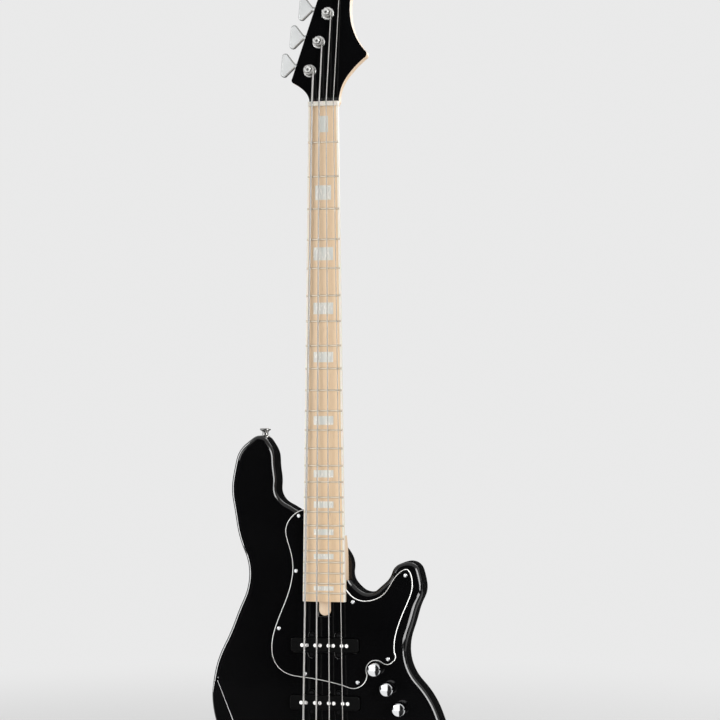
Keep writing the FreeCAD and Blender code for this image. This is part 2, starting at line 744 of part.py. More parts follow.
# Tuners
def tuner_frame(number):
    """Placement of one tuner: its own +X points out along the key, +Y up the neck, +Z to the back."""
    x, z = post_place(number)
    tilt = math.radians(KEY_TILT)
    out = Vector(-math.cos(tilt), 0, math.sin(tilt))
    up = Vector(math.sin(tilt), 0, math.cos(tilt))
    back = out.cross(up)
    turn = FreeCAD.Rotation(out, up, back, "XYZ")
    return FreeCAD.Placement(Vector(x, 0, z), turn)


def tuner_bushing():
    bore, wide, top = POST_RADIUS + RUNNING_GAP, BUSH_FLANGE_RADIUS, -BUSH_FLANGE_THICK
    sleeve = [
        (bore, top), (wide - BUSH_CHAMFER, top), (wide, top + BUSH_CHAMFER), (wide, 0),
        (BUSH_RADIUS, 0), (BUSH_RADIUS, BUSH_LENGTH), (bore, BUSH_LENGTH),
    ]
    return turned(sleeve, Vector(0, 0, HEAD_FACE - VENEER_THICK), UP_NECK)


def tuner_plate():
    length, width = TUNER_PLATE
    corner = Vector(-length / 2, TUNER_PLATE_LOW, HEAD_BACK)
    base = Part.makeBox(length, width, TUNER_PLATE_THICK, corner)
    base = base.makeFillet(TUNER_PLATE_CORNER, [e for e in base.Edges if e.BoundBox.ZLength > 1])
    base = base.cut(Part.makeCylinder(POST_RADIUS + LOOSE_GAP, 2 * PAST, Vector(0, 0, HEAD_BACK - PAST)))
    ears = []
    for side in (-1, 1):
        inner = side * (TUNER_EAR_PLACE + TUNER_EAR_THICK / 2) - TUNER_EAR_THICK / 2
        low = Vector(inner, WORM_OFFSET - TUNER_EAR_RADIUS, HEAD_BACK)
        foot = Part.makeBox(TUNER_EAR_THICK, 2 * TUNER_EAR_RADIUS, GEAR_LEVEL - HEAD_BACK, low)
        crown = Part.makeCylinder(
            TUNER_EAR_RADIUS, TUNER_EAR_THICK, Vector(inner, WORM_OFFSET, GEAR_LEVEL), KEY_WAY)
        ears.append(foot.fuse(crown))
    plate = base.fuse(ears).removeSplitter()
    bearing = Part.makeCylinder(
        KEY_SHAFT_RADIUS + RUNNING_GAP, length, Vector(-length / 2, WORM_OFFSET, GEAR_LEVEL), KEY_WAY)
    return plate.cut(bearing)


def tooth_shape(pitch):
    """Half widths of a tooth at its tip and its root, with the backlash taken off."""
    half = pitch / 4 - TOOTH_BACKLASH / 2
    slope = math.tan(math.radians(TOOTH_FLANK))
    return half - TOOTH_ADDENDUM * slope, half + TOOTH_DEDENDUM * slope


def worm_shaft():
    """The key's shaft, with the single-start thread that drives the wheel."""
    pitch = 2 * math.pi * WHEEL_PITCH_RADIUS / WHEEL_TEETH
    root = WORM_PITCH_RADIUS - TOOTH_DEDENDUM
    tip = WORM_PITCH_RADIUS + TOOTH_ADDENDUM
    tip_half, root_half = tooth_shape(pitch)
    start = -WORM_LENGTH / 2
    helix = Part.makeHelix(pitch, WORM_LENGTH, root)
    buried = root - THREAD_BURY
    corners = [Vector(buried, 0, -root_half), Vector(tip, 0, -tip_half), Vector(tip, 0, tip_half),
               Vector(buried, 0, root_half), Vector(buried, 0, -root_half)]
    thread = Part.Wire(helix).makePipeShell([Part.makePolygon(corners)], True, True)
    thread.translate(Vector(0, 0, start))
    limit = Part.makeCylinder(tip + 1, WORM_LENGTH, Vector(0, 0, start))
    core_half = TUNER_EAR_PLACE - LOOSE_GAP / 2
    core = Part.makeCylinder(root, 2 * core_half, Vector(0, 0, -core_half))
    inner_end = -TUNER_EAR_PLACE - TUNER_EAR_THICK - KEY_STUB
    shaft = Part.makeCylinder(KEY_SHAFT_RADIUS, KEY_SHAFT_END - inner_end, Vector(0, 0, inner_end))
    whole = shaft.fuse([core, thread.common(limit)])
    whole.Placement = FreeCAD.Placement(
        Vector(0, WORM_OFFSET, GEAR_LEVEL), FreeCAD.Rotation(UP_NECK, KEY_WAY))
    return whole


def key_point_height():
    """Height at which the paddle's slanting edge would meet its outer edge, were the corner not round."""
    across = KEY_OUTER - KEY_CORNER - KEY_APEX
    rise = KEY_HALF_HEIGHT - KEY_CORNER - KEY_APEX_HALF
    slant = math.atan2(rise, across) + math.asin(KEY_CORNER / math.hypot(across, rise))
    return KEY_APEX_HALF + (KEY_OUTER - KEY_APEX) * math.tan(slant)


def key_button():
    """The paddle: a rounded triangle with its point at the shaft, and a collar."""
    low = GEAR_LEVEL - KEY_THICK / 2
    tall = key_point_height()
    outline = [(KEY_APEX, -KEY_APEX_HALF), (KEY_OUTER, -tall), (KEY_OUTER, tall), (KEY_APEX, KEY_APEX_HALF)]
    corners = [Vector(u, WORM_OFFSET + v, low) for u, v in outline]
    edges = rounded(corners, (0, KEY_CORNER, KEY_CORNER, 0))
    paddle = Part.Face(Part.Wire(edges)).extrude(Vector(0, 0, KEY_THICK))
    rims = [e for e in paddle.Edges if e.BoundBox.ZLength < 0.01 and e.BoundBox.XMax > KEY_APEX + 1]
    paddle = paddle.makeFillet(KEY_EDGE, rims)
    start = Vector(KEY_NECK_START, WORM_OFFSET, GEAR_LEVEL)
    collar = Part.makeCylinder(KEY_COLLAR, KEY_COLLAR_END - KEY_NECK_START, start, KEY_WAY)
    depth = KEY_SHAFT_END - KEY_NECK_START + PRESS_GAP
    bore = Part.makeCylinder(KEY_SHAFT_RADIUS + PRESS_GAP, depth, start, KEY_WAY)
    return paddle.fuse(collar).cut(bore)


def worm_wheel():
    """The wheel's tooth gaps lean by the worm's lead, so that the thread runs through them."""
    pitch = 2 * math.pi * WHEEL_PITCH_RADIUS / WHEEL_TEETH
    lead = math.degrees(math.atan(pitch / (2 * math.pi * WORM_PITCH_RADIUS)))
    tip = WHEEL_PITCH_RADIUS + TOOTH_ADDENDUM
    root = WHEEL_PITCH_RADIUS - TOOTH_DEDENDUM
    tip_half, root_half = tooth_shape(pitch)
    wide, narrow = pitch / 2 - tip_half, pitch / 2 - root_half
    blank = Part.makeCylinder(tip, WHEEL_THICK, Vector(0, 0, GEAR_LEVEL - WHEEL_THICK / 2))
    flare = (wide - narrow) / (TOOTH_ADDENDUM + TOOTH_DEDENDUM)
    over = 1.0
    edge = [Vector(-narrow, root, 0), Vector(-wide - flare * over, tip + over, 0),
            Vector(wide + flare * over, tip + over, 0), Vector(narrow, root, 0), Vector(-narrow, root, 0)]
    gap = Part.Face(Part.makePolygon(edge)).extrude(Vector(0, 0, 2 * WHEEL_THICK))
    gap.translate(Vector(0, 0, -WHEEL_THICK))
    gap.rotate(Vector(0, 0, 0), Vector(0, 1, 0), lead)
    gap.translate(Vector(0, 0, GEAR_LEVEL))
    gaps = []
    for k in range(WHEEL_TEETH):
        one = gap.copy()
        one.rotate(Vector(0, 0, 0), UP_NECK, k * 360 / WHEEL_TEETH + WHEEL_PHASE)
        gaps.append(one)
    return blank.cut(gaps).cut(Part.makeCylinder(POST_WAIST + PRESS_GAP, 2 * GEAR_LEVEL))


def tuner_post():
    wheel_top = GEAR_LEVEL - WHEEL_THICK / 2
    wheel_low = GEAR_LEVEL + WHEEL_THICK / 2
    seat = HEAD_FACE - VENEER_THICK - BUSH_FLANGE_THICK - LOOSE_GAP / 2
    taper = POST_TOP + POST_HEAD + POST_TAPER
    profile = [
        (0, POST_TOP), (POST_RADIUS - POST_CROWN, POST_TOP), (POST_RADIUS, POST_TOP + POST_CROWN),
        (POST_RADIUS, POST_TOP + POST_HEAD), (POST_WAIST, taper), (POST_WAIST, seat - LOOSE_GAP),
        (POST_RADIUS, seat), (POST_RADIUS, wheel_top - RUNNING_GAP), (POST_WAIST, wheel_top - RUNNING_GAP),
        (POST_WAIST, wheel_low), (0, wheel_low),
    ]
    post = turned(profile, Vector(0, 0, 0), UP_NECK)
    width, deep = POST_SLOT
    corner = Vector(-2 * POST_RADIUS, -width / 2, POST_TOP - deep)
    slot = Part.makeBox(4 * POST_RADIUS, width, 2 * deep, corner)
    slot.rotate(Vector(0, 0, 0), UP_NECK, POST_SLOT_TURN)
    hole = Part.makeCylinder(POST_HOLE, POST_HOLE_DEPTH, Vector(0, 0, POST_TOP))
    screw_radius, screw_length = WHEEL_SCREW
    head_radius, head_top, head_thick = WHEEL_SCREW_HEAD
    tip = Vector(0, 0, wheel_low - screw_length + PRESS_GAP)
    tapped = Part.makeCylinder(screw_radius + PRESS_GAP, 2 * screw_length, tip - UP_NECK * RUNNING_GAP)
    screw = [
        (0, 0), (screw_radius, 0), (screw_radius, screw_length), (head_radius, screw_length),
        (head_top, screw_length + head_thick), (0, screw_length + head_thick),
    ]
    return [post.cut([slot, hole, tapped]), worm_wheel(), turned(screw, tip, UP_NECK)]


def placed(solids, frame):
    moved = []
    for solid in solids:
        one = solid.copy()
        one.Placement = frame.multiply(one.Placement)
        moved.append(one)
    return moved


def tuners():
    plates, bushings = [], []
    key, button, post = worm_shaft(), key_button(), tuner_post()
    plate, bushing = tuner_plate(), tuner_bushing()
    for number in range(len(STRING_RADII)):
        frame = tuner_frame(number)
        plates += placed([plate], frame)
        bushings += placed([bushing], frame)
        save(f"tuner_key_{number + 1}", *placed([key, button], frame))
        save(f"tuner_post_{number + 1}", *placed(post, frame))
    save("tuner_plates", *plates)
    save("tuner_bushings", *bushings)


# Body
def contour_wedge(crease, tilt, level):
    """What a sloping flat takes off the bass bout: crease is where it leaves the flat top."""
    (x0, z0), (x1, z1) = crease
    span = Vector(x1 - x0, 0, z1 - z0)
    run = span * (1 / span.Length)
    out = INTO_BODY.cross(run) if INTO_BODY.cross(run).x < 0 else run.cross(INTO_BODY)
    slope = INTO_BODY * math.tan(math.radians(tilt))
    reach, spare, over = 90.0, 20.0, 160.0
    start = Vector(x0, level, z0) - run * over
    ring = [
        start - (out + slope) * spare,
        start + (out + slope) * reach,
        start + out * reach - slope * spare,
    ]
    return Part.Face(Part.makePolygon(ring + ring[:1])).extrude(run * (span.Length + 2 * over))


def belly_contour(wood):
    """The shallow dish on the back of the bass side, where the body rests against the player."""
    centre = Vector(BELLY_CENTRE[0], BODY_BACK + BELLY_RISE, BELLY_CENTRE[1])
    wood = wood.cut(Part.makeSphere(BELLY_RADIUS, centre))
    dish = next(face for face in wood.Faces if face.Surface.TypeId == "Part::GeomSphere")
    rims = [edge for edge in dish.Edges if edge.Curve.TypeId != "Part::GeomCircle"]
    return wood.makeFillet(BELLY_EDGE, rims)


def neck_pocket():
    """The pocket is open at its upper end, and on the treble side where the heel shows."""
    main = board_sheet(POCKET_TOP, BOARD_END - POCKET_GAP, POCKET_GAP, -PAST, HEEL_DEPTH + PAST)
    height = POCKET_TOP - POCKET_OPEN_Z
    side = Part.makeBox(BOARD_END_WIDTH, HEEL_DEPTH + PAST, height, Vector(0, -PAST, POCKET_OPEN_Z))
    corner = Vector(-ACCESS_WIDTH / 2, -PAST, ACCESS_END)
    access = Part.makeBox(ACCESS_WIDTH, ACCESS_FLOOR + PAST, BOARD_END - ACCESS_END, corner)
    return [main, side, access]


def pickup_edges(z, length, grow, y):
    """A rectangle with round corners, grown by the given gap."""
    x, side = length / 2 + grow, PICKUP_WIDTH / 2 + grow
    corners = points([(-x, z - side), (x, z - side), (x, z + side), (-x, z + side)], y)
    return rounded(corners, [PICKUP_END_RADIUS + grow] * 4)


def pickup_ears(z):
    places = []
    for sx in (-1, 1):
        for sz in (-1, 1):
            places.append((sx * PICKUP_EAR_X, z + sz * (PICKUP_WIDTH / 2 + PICKUP_EAR_OUT)))
    return places


def ear_plate(place, z, radius, y, depth):
    """An ear: a round tab that reaches into the pickup's side."""
    inner = (place[0], z + (place[1] - z) * PICKUP_EAR_ROOT)
    return capsule([inner, place], radius, y, depth)


def pickup_rout(z, length, y, floor):
    rout = slab(pickup_edges(z, length, ROUT_GAP, y), floor - y)
    ears = [ear_plate(p, z, PICKUP_EAR_RADIUS + ROUT_GAP, y, floor - y) for p in pickup_ears(z)]
    return [rout] + ears


def jack_frame():
    turn = math.radians(JACK_TURN)
    out = Vector(math.cos(turn), 0, math.sin(turn))
    return Vector(JACK_PLACE[0], BODY_TOP + BODY_THICK / 2, JACK_PLACE[1]), out


def body():
    wood = slab(arc_ring(BODY_OUTLINE, BODY_TOP), BODY_THICK)
    rims = [edge for edge in wood.Edges if edge.BoundBox.YLength < 0.01]
    wood = wood.makeFillet(EDGE_RADIUS, rims)
    wood = wood.cut(contour_wedge(ARM_CREASE, ARM_TILT, BODY_TOP))
    level = math.cos(math.radians(ARM_TILT))
    planes = [face for face in wood.Faces if face.Surface.TypeId == "Part::GeomPlane"]
    contour = [face for face in planes if abs(abs(face.normalAt(0, 0).y) - level) < 0.001][0]
    rims = [edge for edge in contour.Edges if edge.Curve.TypeId != "Part::GeomLine"]
    wood = belly_contour(wood.makeFillet(ARM_EDGE, rims))
    cuts = neck_pocket()
    for _, z, length, _ in PICKUPS:
        cuts += pickup_rout(z, length, -PAST, ROUT_FLOOR)
    for place in BOLT_PLACES:
        cuts.append(rod(place, HEEL_DEPTH - PAST, BOLT_RADIUS + LOOSE_GAP, BODY_BACK))
        cuts.append(rod(place, BODY_BACK - FERRULE_DEPTH, FERRULE_RADIUS + RUNNING_GAP, 2 * PAST))
    cuts.append(capsule(CAVITY_ENDS, CAVITY_RADIUS, CAVITY_TOP, BODY_BACK))
    cuts.append(capsule(CAVITY_ENDS, COVER_RADIUS + LOOSE_GAP, BODY_BACK - COVER_THICK, 2 * PAST))
    cuts += [rod(place, -PAST, POT_BUSH_RADIUS + LOOSE_GAP, CAVITY_TOP + 2 * PAST) for place in KNOB_PLACES]
    seat, out = jack_frame()
    cuts.append(Part.makeCylinder(JACK_FLANGE_RADIUS + LOOSE_GAP, JACK_BARREL_LENGTH, seat, out))
    cuts.append(Part.makeCylinder(JACK_BARREL_RADIUS + SLIP_GAP, JACK_BARREL_LENGTH + 1, seat, out * -1))
    start = seat - out * (JACK_BARREL_LENGTH - JACK_WIRE_RADIUS)
    wire_way = Vector(*JACK_WIRE_WAY)
    cuts.append(Part.makeCylinder(JACK_WIRE_RADIUS, JACK_BARREL_LENGTH + PAST, start, wire_way))
    for x, z, way in STRAP_PLACES:
        place = Vector(x, BODY_TOP + BODY_THICK / 2, z)
        cuts.append(Part.makeCylinder(STRAP_SEAT_RADIUS + LOOSE_GAP, 4 * PAST, place, Vector(0, 0, way)))
    return wood.cut(cuts)


def guard_edges(y):
    end_half = board_half(BOARD_END) + GUARD_GAP
    left_top = (GUARD_BASS_EDGE[0][0] - GUARD_GAP, GUARD_BASS_EDGE[0][1])
    right_top = (GUARD_TREBLE_EDGE[-1][0] + GUARD_GAP, GUARD_TREBLE_EDGE[-1][1])
    bottom = BOARD_END - GUARD_GAP
    notch = ACCESS_WIDTH / 2
    turn = BOARD_END - TONGUE_LENGTH - GUARD_TONGUE_GAP
    bass = [left_top] + GUARD_BASS_EDGE[1:]
    treble = GUARD_TREBLE_EDGE[:-1] + [right_top]
    inner = [
        right_top, (end_half, bottom), (notch, bottom), (notch, turn),
        (-notch, turn), (-notch, bottom), (-end_half, bottom), left_top,
    ]
    edges = [
        curve(bass, y), arc(GUARD_LOWER_CORNER, y), arc(GUARD_NOTCH, y), arc(GUARD_KNOB_LIP, y),
        arc(GUARD_CORNER, y), curve(treble, y),
    ]
    for start, end in zip(inner[:-1], inner[1:]):
        edges.append(line(start, end, y))
    return edges


def pickguard():
    """The plate, with its free edge bevelled: that edge is curved, and those at the neck are straight."""
    plate = slab(guard_edges(GUARD_TOP), GUARD_THICK)
    top = [edge for edge in plate.Edges if edge.BoundBox.YMax < GUARD_TOP + RUNNING_GAP]
    plate = plate.makeChamfer(GUARD_BEVEL, [edge for edge in top if edge.Curve.TypeId != "Part::GeomLine"])
    _, z, length, _ = PICKUPS[0]
    save("pickguard", plate.cut(pickup_rout(z, length, -PAST, 2 * PAST)))


def neck_fixings():
    """Bolts through the back into the heel, each with a cone head in a ring let into the body."""
    length = BODY_BACK - FERRULE_SUNK - HEEL_DEPTH + BOLT_GRIP
    bore = BOLT_RADIUS + LOOSE_GAP / 2
    foot = FERRULE_DEPTH - FERRULE_SUNK
    mouth = BOLT_HEAD_RADIUS + LOOSE_GAP / 2
    ring = [(bore, foot), (bore, BOLT_HEAD_DEPTH), (mouth, 0), (FERRULE_RADIUS, 0), (FERRULE_RADIUS, foot)]
    bolt = [
        (0, RUNNING_GAP), (BOLT_HEAD_RADIUS, RUNNING_GAP), (BOLT_RADIUS, BOLT_HEAD_DEPTH),
        (BOLT_RADIUS, length), (0, length),
    ]
    seats = [Vector(x, BODY_BACK - FERRULE_SUNK, z) for x, z in BOLT_PLACES]
    ferrules = [turned(ring, seat, FACE_OUT) for seat in seats]
    bolts = [turned(bolt, seat, FACE_OUT) for seat in seats]
    save("neck_bolts", *bolts)
    save("neck_ferrules", *ferrules)


# Pickups
def pickup(name, z, length, spacing):
    bottom = PICKUP_TOP + PICKUP_DEPTH
    shell = slab(pickup_edges(z, length, 0, PICKUP_TOP), PICKUP_DEPTH)
    rim = [e for e in shell.Edges if e.BoundBox.YMax < PICKUP_TOP + 0.01]
    shell = shell.makeFillet(PICKUP_EDGE, rim)
    ear_top = GUARD_TOP + PICKUP_EAR_DROP
    ears = [ear_plate(p, z, PICKUP_EAR_RADIUS, ear_top, PICKUP_EAR_THICK) for p in pickup_ears(z)]
    shell = shell.fuse(ears).removeSplitter()
    hollow = slab(pickup_edges(z, length, -PICKUP_WALL, PICKUP_TOP + PICKUP_ROOF), PICKUP_DEPTH)
    poles = []
    for k in range(len(STRING_RADII)):
        for side in (-1, 1):
            poles.append((string_x(k, spacing) + side * POLE_PAIR / 2, z))
    holes = [rod(p, PICKUP_TOP - PAST, POLE_RADIUS + SLIP_GAP, PICKUP_DEPTH + 2 * PAST) for p in poles]
    save(f"pickup_cover_{name}", shell.cut([hollow] + holes))
    pole_top = PICKUP_TOP - POLE_PROUD
    pole_length = bottom - COIL_FOOT - pole_top
    save(f"pickup_poles_{name}", *[rod(p, pole_top, POLE_RADIUS, pole_length) for p in poles])
    coil_top = PICKUP_TOP + PICKUP_ROOF + COIL_GAP
    coil = slab(pickup_edges(z, length, -PICKUP_WALL - COIL_GAP, coil_top), bottom - COIL_FOOT - coil_top)
    save(f"pickup_coil_{name}", coil.cut(holes))


# Controls
def knob(number, place):
    """A turned knob with a domed top, hollow at its foot, on the shaft of its control."""
    depth = KNOB_BOTTOM - KNOB_TOP
    rim = KNOB_RADIUS - KNOB_EDGE
    sphere = (rim ** 2 + KNOB_DOME ** 2) / (2 * KNOB_DOME)
    middle = sphere - math.sqrt(sphere ** 2 - rim ** 2 / 4)
    outline = [(rim, KNOB_DOME), (KNOB_RADIUS, KNOB_EDGE_DEPTH), (KNOB_RADIUS, depth), (0, depth), (0, 0)]
    spots = [Vector(radius, 0, height) for radius, height in outline]
    edges = [Part.Arc(spots[-1], Vector(rim / 2, 0, middle), spots[0]).toShape()]
    edges += [Part.LineSegment(start, end).toShape() for start, end in zip(spots[:-1], spots[1:])]
    blank = Part.Face(Part.Wire(edges)).revolve(Vector(0, 0, 0), UP_NECK, 360)
    top = Vector(place[0], KNOB_TOP, place[1])
    blank.Placement = FreeCAD.Placement(top, FreeCAD.Rotation(UP_NECK, INTO_BODY))
    under = rod(place, KNOB_BOTTOM - KNOB_FOOT, KNOB_RADIUS - KNOB_WALL, depth)
    core = rod(place, KNOB_TOP + KNOB_ROOF, KNOB_HUB, depth - KNOB_ROOF - KNOB_FOOT)
    shaft_top = KNOB_TOP + KNOB_ROOF + KNOB_WALL
    bore = rod(place, shaft_top - SLIP_GAP, POT_SHAFT_RADIUS + PRESS_GAP, depth)
    shaft = rod(place, shaft_top, POT_SHAFT_RADIUS, POT_CAN_TOP + PAST - shaft_top)
    save(f"knob_{number}", blank.cut(under).fuse(core).cut(bore), shaft)


def controls():
    pots, nuts = [], []
    for number, place in enumerate(KNOB_PLACES):
        knob(number + 1, place)
        can = rod(place, POT_CAN_TOP, POT_CAN_RADIUS, POT_CAN_DEPTH)
        can = can.fuse(rod(place, CAVITY_TOP + RUNNING_GAP, POT_STEP_RADIUS, POT_CAN_TOP - CAVITY_TOP))
        nut_top = BODY_TOP - POT_WASHER_THICK - POT_NUT_THICK
        bush = rod(place, nut_top + LOOSE_GAP / 2, POT_BUSH_RADIUS, POT_CAN_TOP - nut_top)
        across, thick, reach = POT_TABS
        low = place[1] - POT_CAN_RADIUS + POT_TAB_OUT - reach
        tabs = Part.makeBox(across, thick, reach, Vector(place[0] - across / 2, POT_CAN_TOP + 1, low))
        bore = rod(place, KNOB_TOP, POT_SHAFT_RADIUS + RUNNING_GAP, POT_CAN_TOP + PAST + SLIP_GAP - KNOB_TOP)
        pots.append(can.fuse([bush, tabs]).cut(bore))
        washer = rod(place, BODY_TOP - POT_WASHER_THICK, POT_WASHER_RADIUS, POT_WASHER_THICK)
        hexa = hexagon(POT_NUT_ACROSS, place, nut_top, POT_NUT_THICK)
        hole = rod(place, -PAST, POT_BUSH_RADIUS + PRESS_GAP, 4 * PAST)
        nuts += [washer.cut(hole), hexa.cut(hole)]
    save("pots", *pots)
    save("pot_nuts", *nuts)


def control_cover():
    save("control_cover", capsule(CAVITY_ENDS, COVER_RADIUS, BODY_BACK - COVER_THICK, COVER_THICK))


def output_jack():
    seat, out = jack_frame()
    barrel = Part.makeCylinder(JACK_BARREL_RADIUS, JACK_BARREL_LENGTH, seat, out * -1)
    flange = Part.makeCylinder(JACK_FLANGE_RADIUS, JACK_FLANGE_THICK, seat, out)
    collar = turned(JACK_COLLAR, seat + out * JACK_FLANGE_THICK, out)
    mouth = seat + out * (JACK_FLANGE_THICK + JACK_COLLAR[-1][1])
    bore = Part.makeCylinder(JACK_BORE, JACK_BORE_LENGTH, mouth, out * -1)
    save("output_jack", barrel.fuse([flange, collar]).removeSplitter().cut(bore))


def strap_buttons():
    """Turned buttons on the horn and the tail, each on a flat seat, with its screw's head let in."""
    top, floor = STRAP_HEIGHT, STRAP_HEIGHT - STRAP_SINK_DEPTH
    sink = [(STRAP_SINK_RADIUS, top), (STRAP_SINK_RADIUS, floor), (0, floor)]
    profile = STRAP_FOOT + STRAP_WAIST + STRAP_HEAD + sink
    buttons = []
    for x, z, way in STRAP_PLACES:
        seat = Vector(x, BODY_TOP + BODY_THICK / 2, z)
        buttons.append(turned(profile, seat, Vector(0, 0, way)))
    save("strap_buttons", *buttons)


# Bridge
def bridge_plate():
    """A floor with a wall at its tail, which the strings and the saddles' long screws go through."""
    side = [
        (BODY_TOP, BRIDGE_TAIL), (BODY_TOP, BRIDGE_FRONT), (BRIDGE_FLOOR, BRIDGE_FRONT),
        (BRIDGE_FLOOR, BRIDGE_TAIL + BRIDGE_WALL), (BRIDGE_WALL_TOP, BRIDGE_TAIL + BRIDGE_WALL),
        (BRIDGE_WALL_TOP, BRIDGE_TAIL),
    ]
    ring = [Vector(-BRIDGE_HALF_WIDTH, y, z) for y, z in side + side[:1]]
    whole = Part.Face(Part.makePolygon(ring)).extrude(Vector(2 * BRIDGE_HALF_WIDTH, 0, 0))
    corners = []
    for edge in whole.Edges:
        box = edge.BoundBox
        at_front = box.ZMin > BRIDGE_FRONT - 1 and box.YLength > 1
        on_wall = box.YMax < BRIDGE_WALL_TOP + 1 and box.ZLength > 1
        if at_front or on_wall:
            corners.append(edge)
    whole = whole.makeFillet(BRIDGE_CORNER, corners)
    cuts = []
    start, depth = BRIDGE_TAIL - PAST, BRIDGE_WALL + 2 * PAST
    for number in range(len(STRING_RADII)):
        hole = Vector(string_at(number, SADDLE_LINE - SADDLE_LENGTH).x, STRING_HOLE_Y, start)
        cuts.append(Part.makeCylinder(STRING_HOLE_RADIUS, depth, hole, UP_NECK))
        hole = Vector(string_at(number, SADDLE_LINE).x, LENGTH_SCREW_Y, start)
        cuts.append(Part.makeCylinder(LENGTH_SCREW_RADIUS + RUNNING_GAP, depth, hole, UP_NECK))
    save("bridge_plate", whole.cut(cuts))


def saddle(number):
    """A saddle with a round top and a groove, its two height screws, and the long screw that moves it."""
    centre = string_at(number, SADDLE_LINE)
    x = centre.x
    crest = centre.y - STRING_RADII[number] * SADDLE_SEAT
    front, back = SADDLE_LINE + SADDLE_LENGTH / 2, SADDLE_LINE - SADDLE_LENGTH / 2
    left = x - SADDLE_WIDTH / 2
    shoulder = crest + SADDLE_SHOULDER
    corner = [
        Vector(left, SADDLE_BASE, front), Vector(left, SADDLE_BASE, back), Vector(left, shoulder, back),
        Vector(left, crest, SADDLE_LINE), Vector(left, shoulder, front),
    ]
    edges = [
        Part.LineSegment(corner[4], corner[0]).toShape(),
        Part.LineSegment(corner[0], corner[1]).toShape(),
        Part.LineSegment(corner[1], corner[2]).toShape(),
        Part.Arc(corner[2], corner[3], corner[4]).toShape(),
    ]
    block = Part.Face(Part.Wire(edges)).extrude(Vector(SADDLE_WIDTH, 0, 0))
    start, end = string_at(number, back - PAST), string_at(number, front + PAST)
    run = end - start
    groove = Part.makeCylinder(STRING_RADII[number] + SLIP_GAP, run.Length, start, run)
    hole = Vector(x, LENGTH_SCREW_Y, back - PAST)
    depth = SADDLE_LENGTH + 2 * PAST
    cuts = [groove, Part.makeCylinder(LENGTH_SCREW_RADIUS + RUNNING_GAP, depth, hole, UP_NECK)]
    legs = []
    across, along = HEIGHT_SCREW_SHIFT
    leg_top = shoulder - LOOSE_GAP
    for side in (-1, 1):
        place = (x + side * across, SADDLE_LINE + along)
        cuts.append(rod(place, 2 * crest, HEIGHT_SCREW_RADIUS + RUNNING_GAP, WIDE))
        legs.append(rod(place, leg_top, HEIGHT_SCREW_RADIUS, BRIDGE_FLOOR - SLIP_GAP - leg_top))
    save(f"saddle_{number + 1}", block.cut(cuts), *legs)
    tail = Vector(x, LENGTH_SCREW_Y, BRIDGE_TAIL - RUNNING_GAP)
    length = front + LENGTH_SCREW_END - BRIDGE_TAIL
    shank = [(LENGTH_SCREW_RADIUS, 0), (LENGTH_SCREW_RADIUS, length), (0, length)]
    save(f"intonation_screw_{number + 1}", turned(LENGTH_SCREW_HEAD + shank, tail, UP_NECK))


os.makedirs("parts", exist_ok=True)
fretboard()
frets()
nut()
neck()
headstock_veneer()
truss_rod()
for k, name in enumerate("eadg"):
    save(f"string_{name}", string(k))
tuners()
save("body", body())
pickguard()
neck_fixings()
for values in PICKUPS:
    pickup(*values)
controls()
control_cover()
output_jack()
strap_buttons()
bridge_plate()
for k in range(len(STRING_RADII)):
    saddle(k)
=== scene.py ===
"""Finishes, strings, screws and studio of a four-string solid-body electric bass.

Lengths are metres in the instrument's own frame: +Z runs up the neck from the nut, -Y faces the front
and +X is the treble side.
"""
import json
import math

import bmesh
import bpy
from mathutils import Matrix, Vector

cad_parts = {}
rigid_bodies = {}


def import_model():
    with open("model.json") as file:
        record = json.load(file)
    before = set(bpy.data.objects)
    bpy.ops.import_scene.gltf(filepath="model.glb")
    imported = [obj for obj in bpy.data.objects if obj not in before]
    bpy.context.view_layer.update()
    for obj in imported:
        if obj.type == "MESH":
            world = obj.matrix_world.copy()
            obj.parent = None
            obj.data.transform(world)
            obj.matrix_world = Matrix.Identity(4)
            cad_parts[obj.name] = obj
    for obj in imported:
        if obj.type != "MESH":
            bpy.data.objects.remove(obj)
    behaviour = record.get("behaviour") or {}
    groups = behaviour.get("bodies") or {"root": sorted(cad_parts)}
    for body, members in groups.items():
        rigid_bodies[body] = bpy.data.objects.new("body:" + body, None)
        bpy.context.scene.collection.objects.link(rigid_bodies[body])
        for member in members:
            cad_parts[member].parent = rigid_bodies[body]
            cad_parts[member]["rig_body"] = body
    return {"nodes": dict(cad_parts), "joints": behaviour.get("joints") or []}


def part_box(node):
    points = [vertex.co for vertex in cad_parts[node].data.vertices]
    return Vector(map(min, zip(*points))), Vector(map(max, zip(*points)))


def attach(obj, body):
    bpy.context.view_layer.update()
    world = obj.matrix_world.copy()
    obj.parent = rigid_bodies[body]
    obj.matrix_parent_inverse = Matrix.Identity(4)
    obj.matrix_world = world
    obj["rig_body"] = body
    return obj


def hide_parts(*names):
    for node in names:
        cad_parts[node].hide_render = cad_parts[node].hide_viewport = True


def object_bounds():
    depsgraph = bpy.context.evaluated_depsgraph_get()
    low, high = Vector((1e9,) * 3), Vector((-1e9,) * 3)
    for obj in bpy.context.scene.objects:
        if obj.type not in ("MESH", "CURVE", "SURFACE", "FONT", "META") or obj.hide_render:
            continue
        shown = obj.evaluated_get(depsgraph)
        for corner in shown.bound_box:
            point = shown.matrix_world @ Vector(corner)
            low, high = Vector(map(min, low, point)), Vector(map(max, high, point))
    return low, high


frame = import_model()
cad_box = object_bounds()
nodes = frame["nodes"]
joints = {joint["name"]: joint for joint in frame["joints"]}

MM = 0.001

# Materials that have lamps of their own, filled in as they are made
lacquers = []
metals = []

# Camera, at the angle of the reference view
CAMERA_PLACE = Vector((0.6133, -2.5381, -0.4153))
CAMERA_YAW = math.radians(12.545)
CAMERA_PITCH = math.radians(1.549)
CAMERA_ROLL = math.radians(-0.108)
CAMERA_LENS = 98.1
CAMERA_SENSOR = 36.0

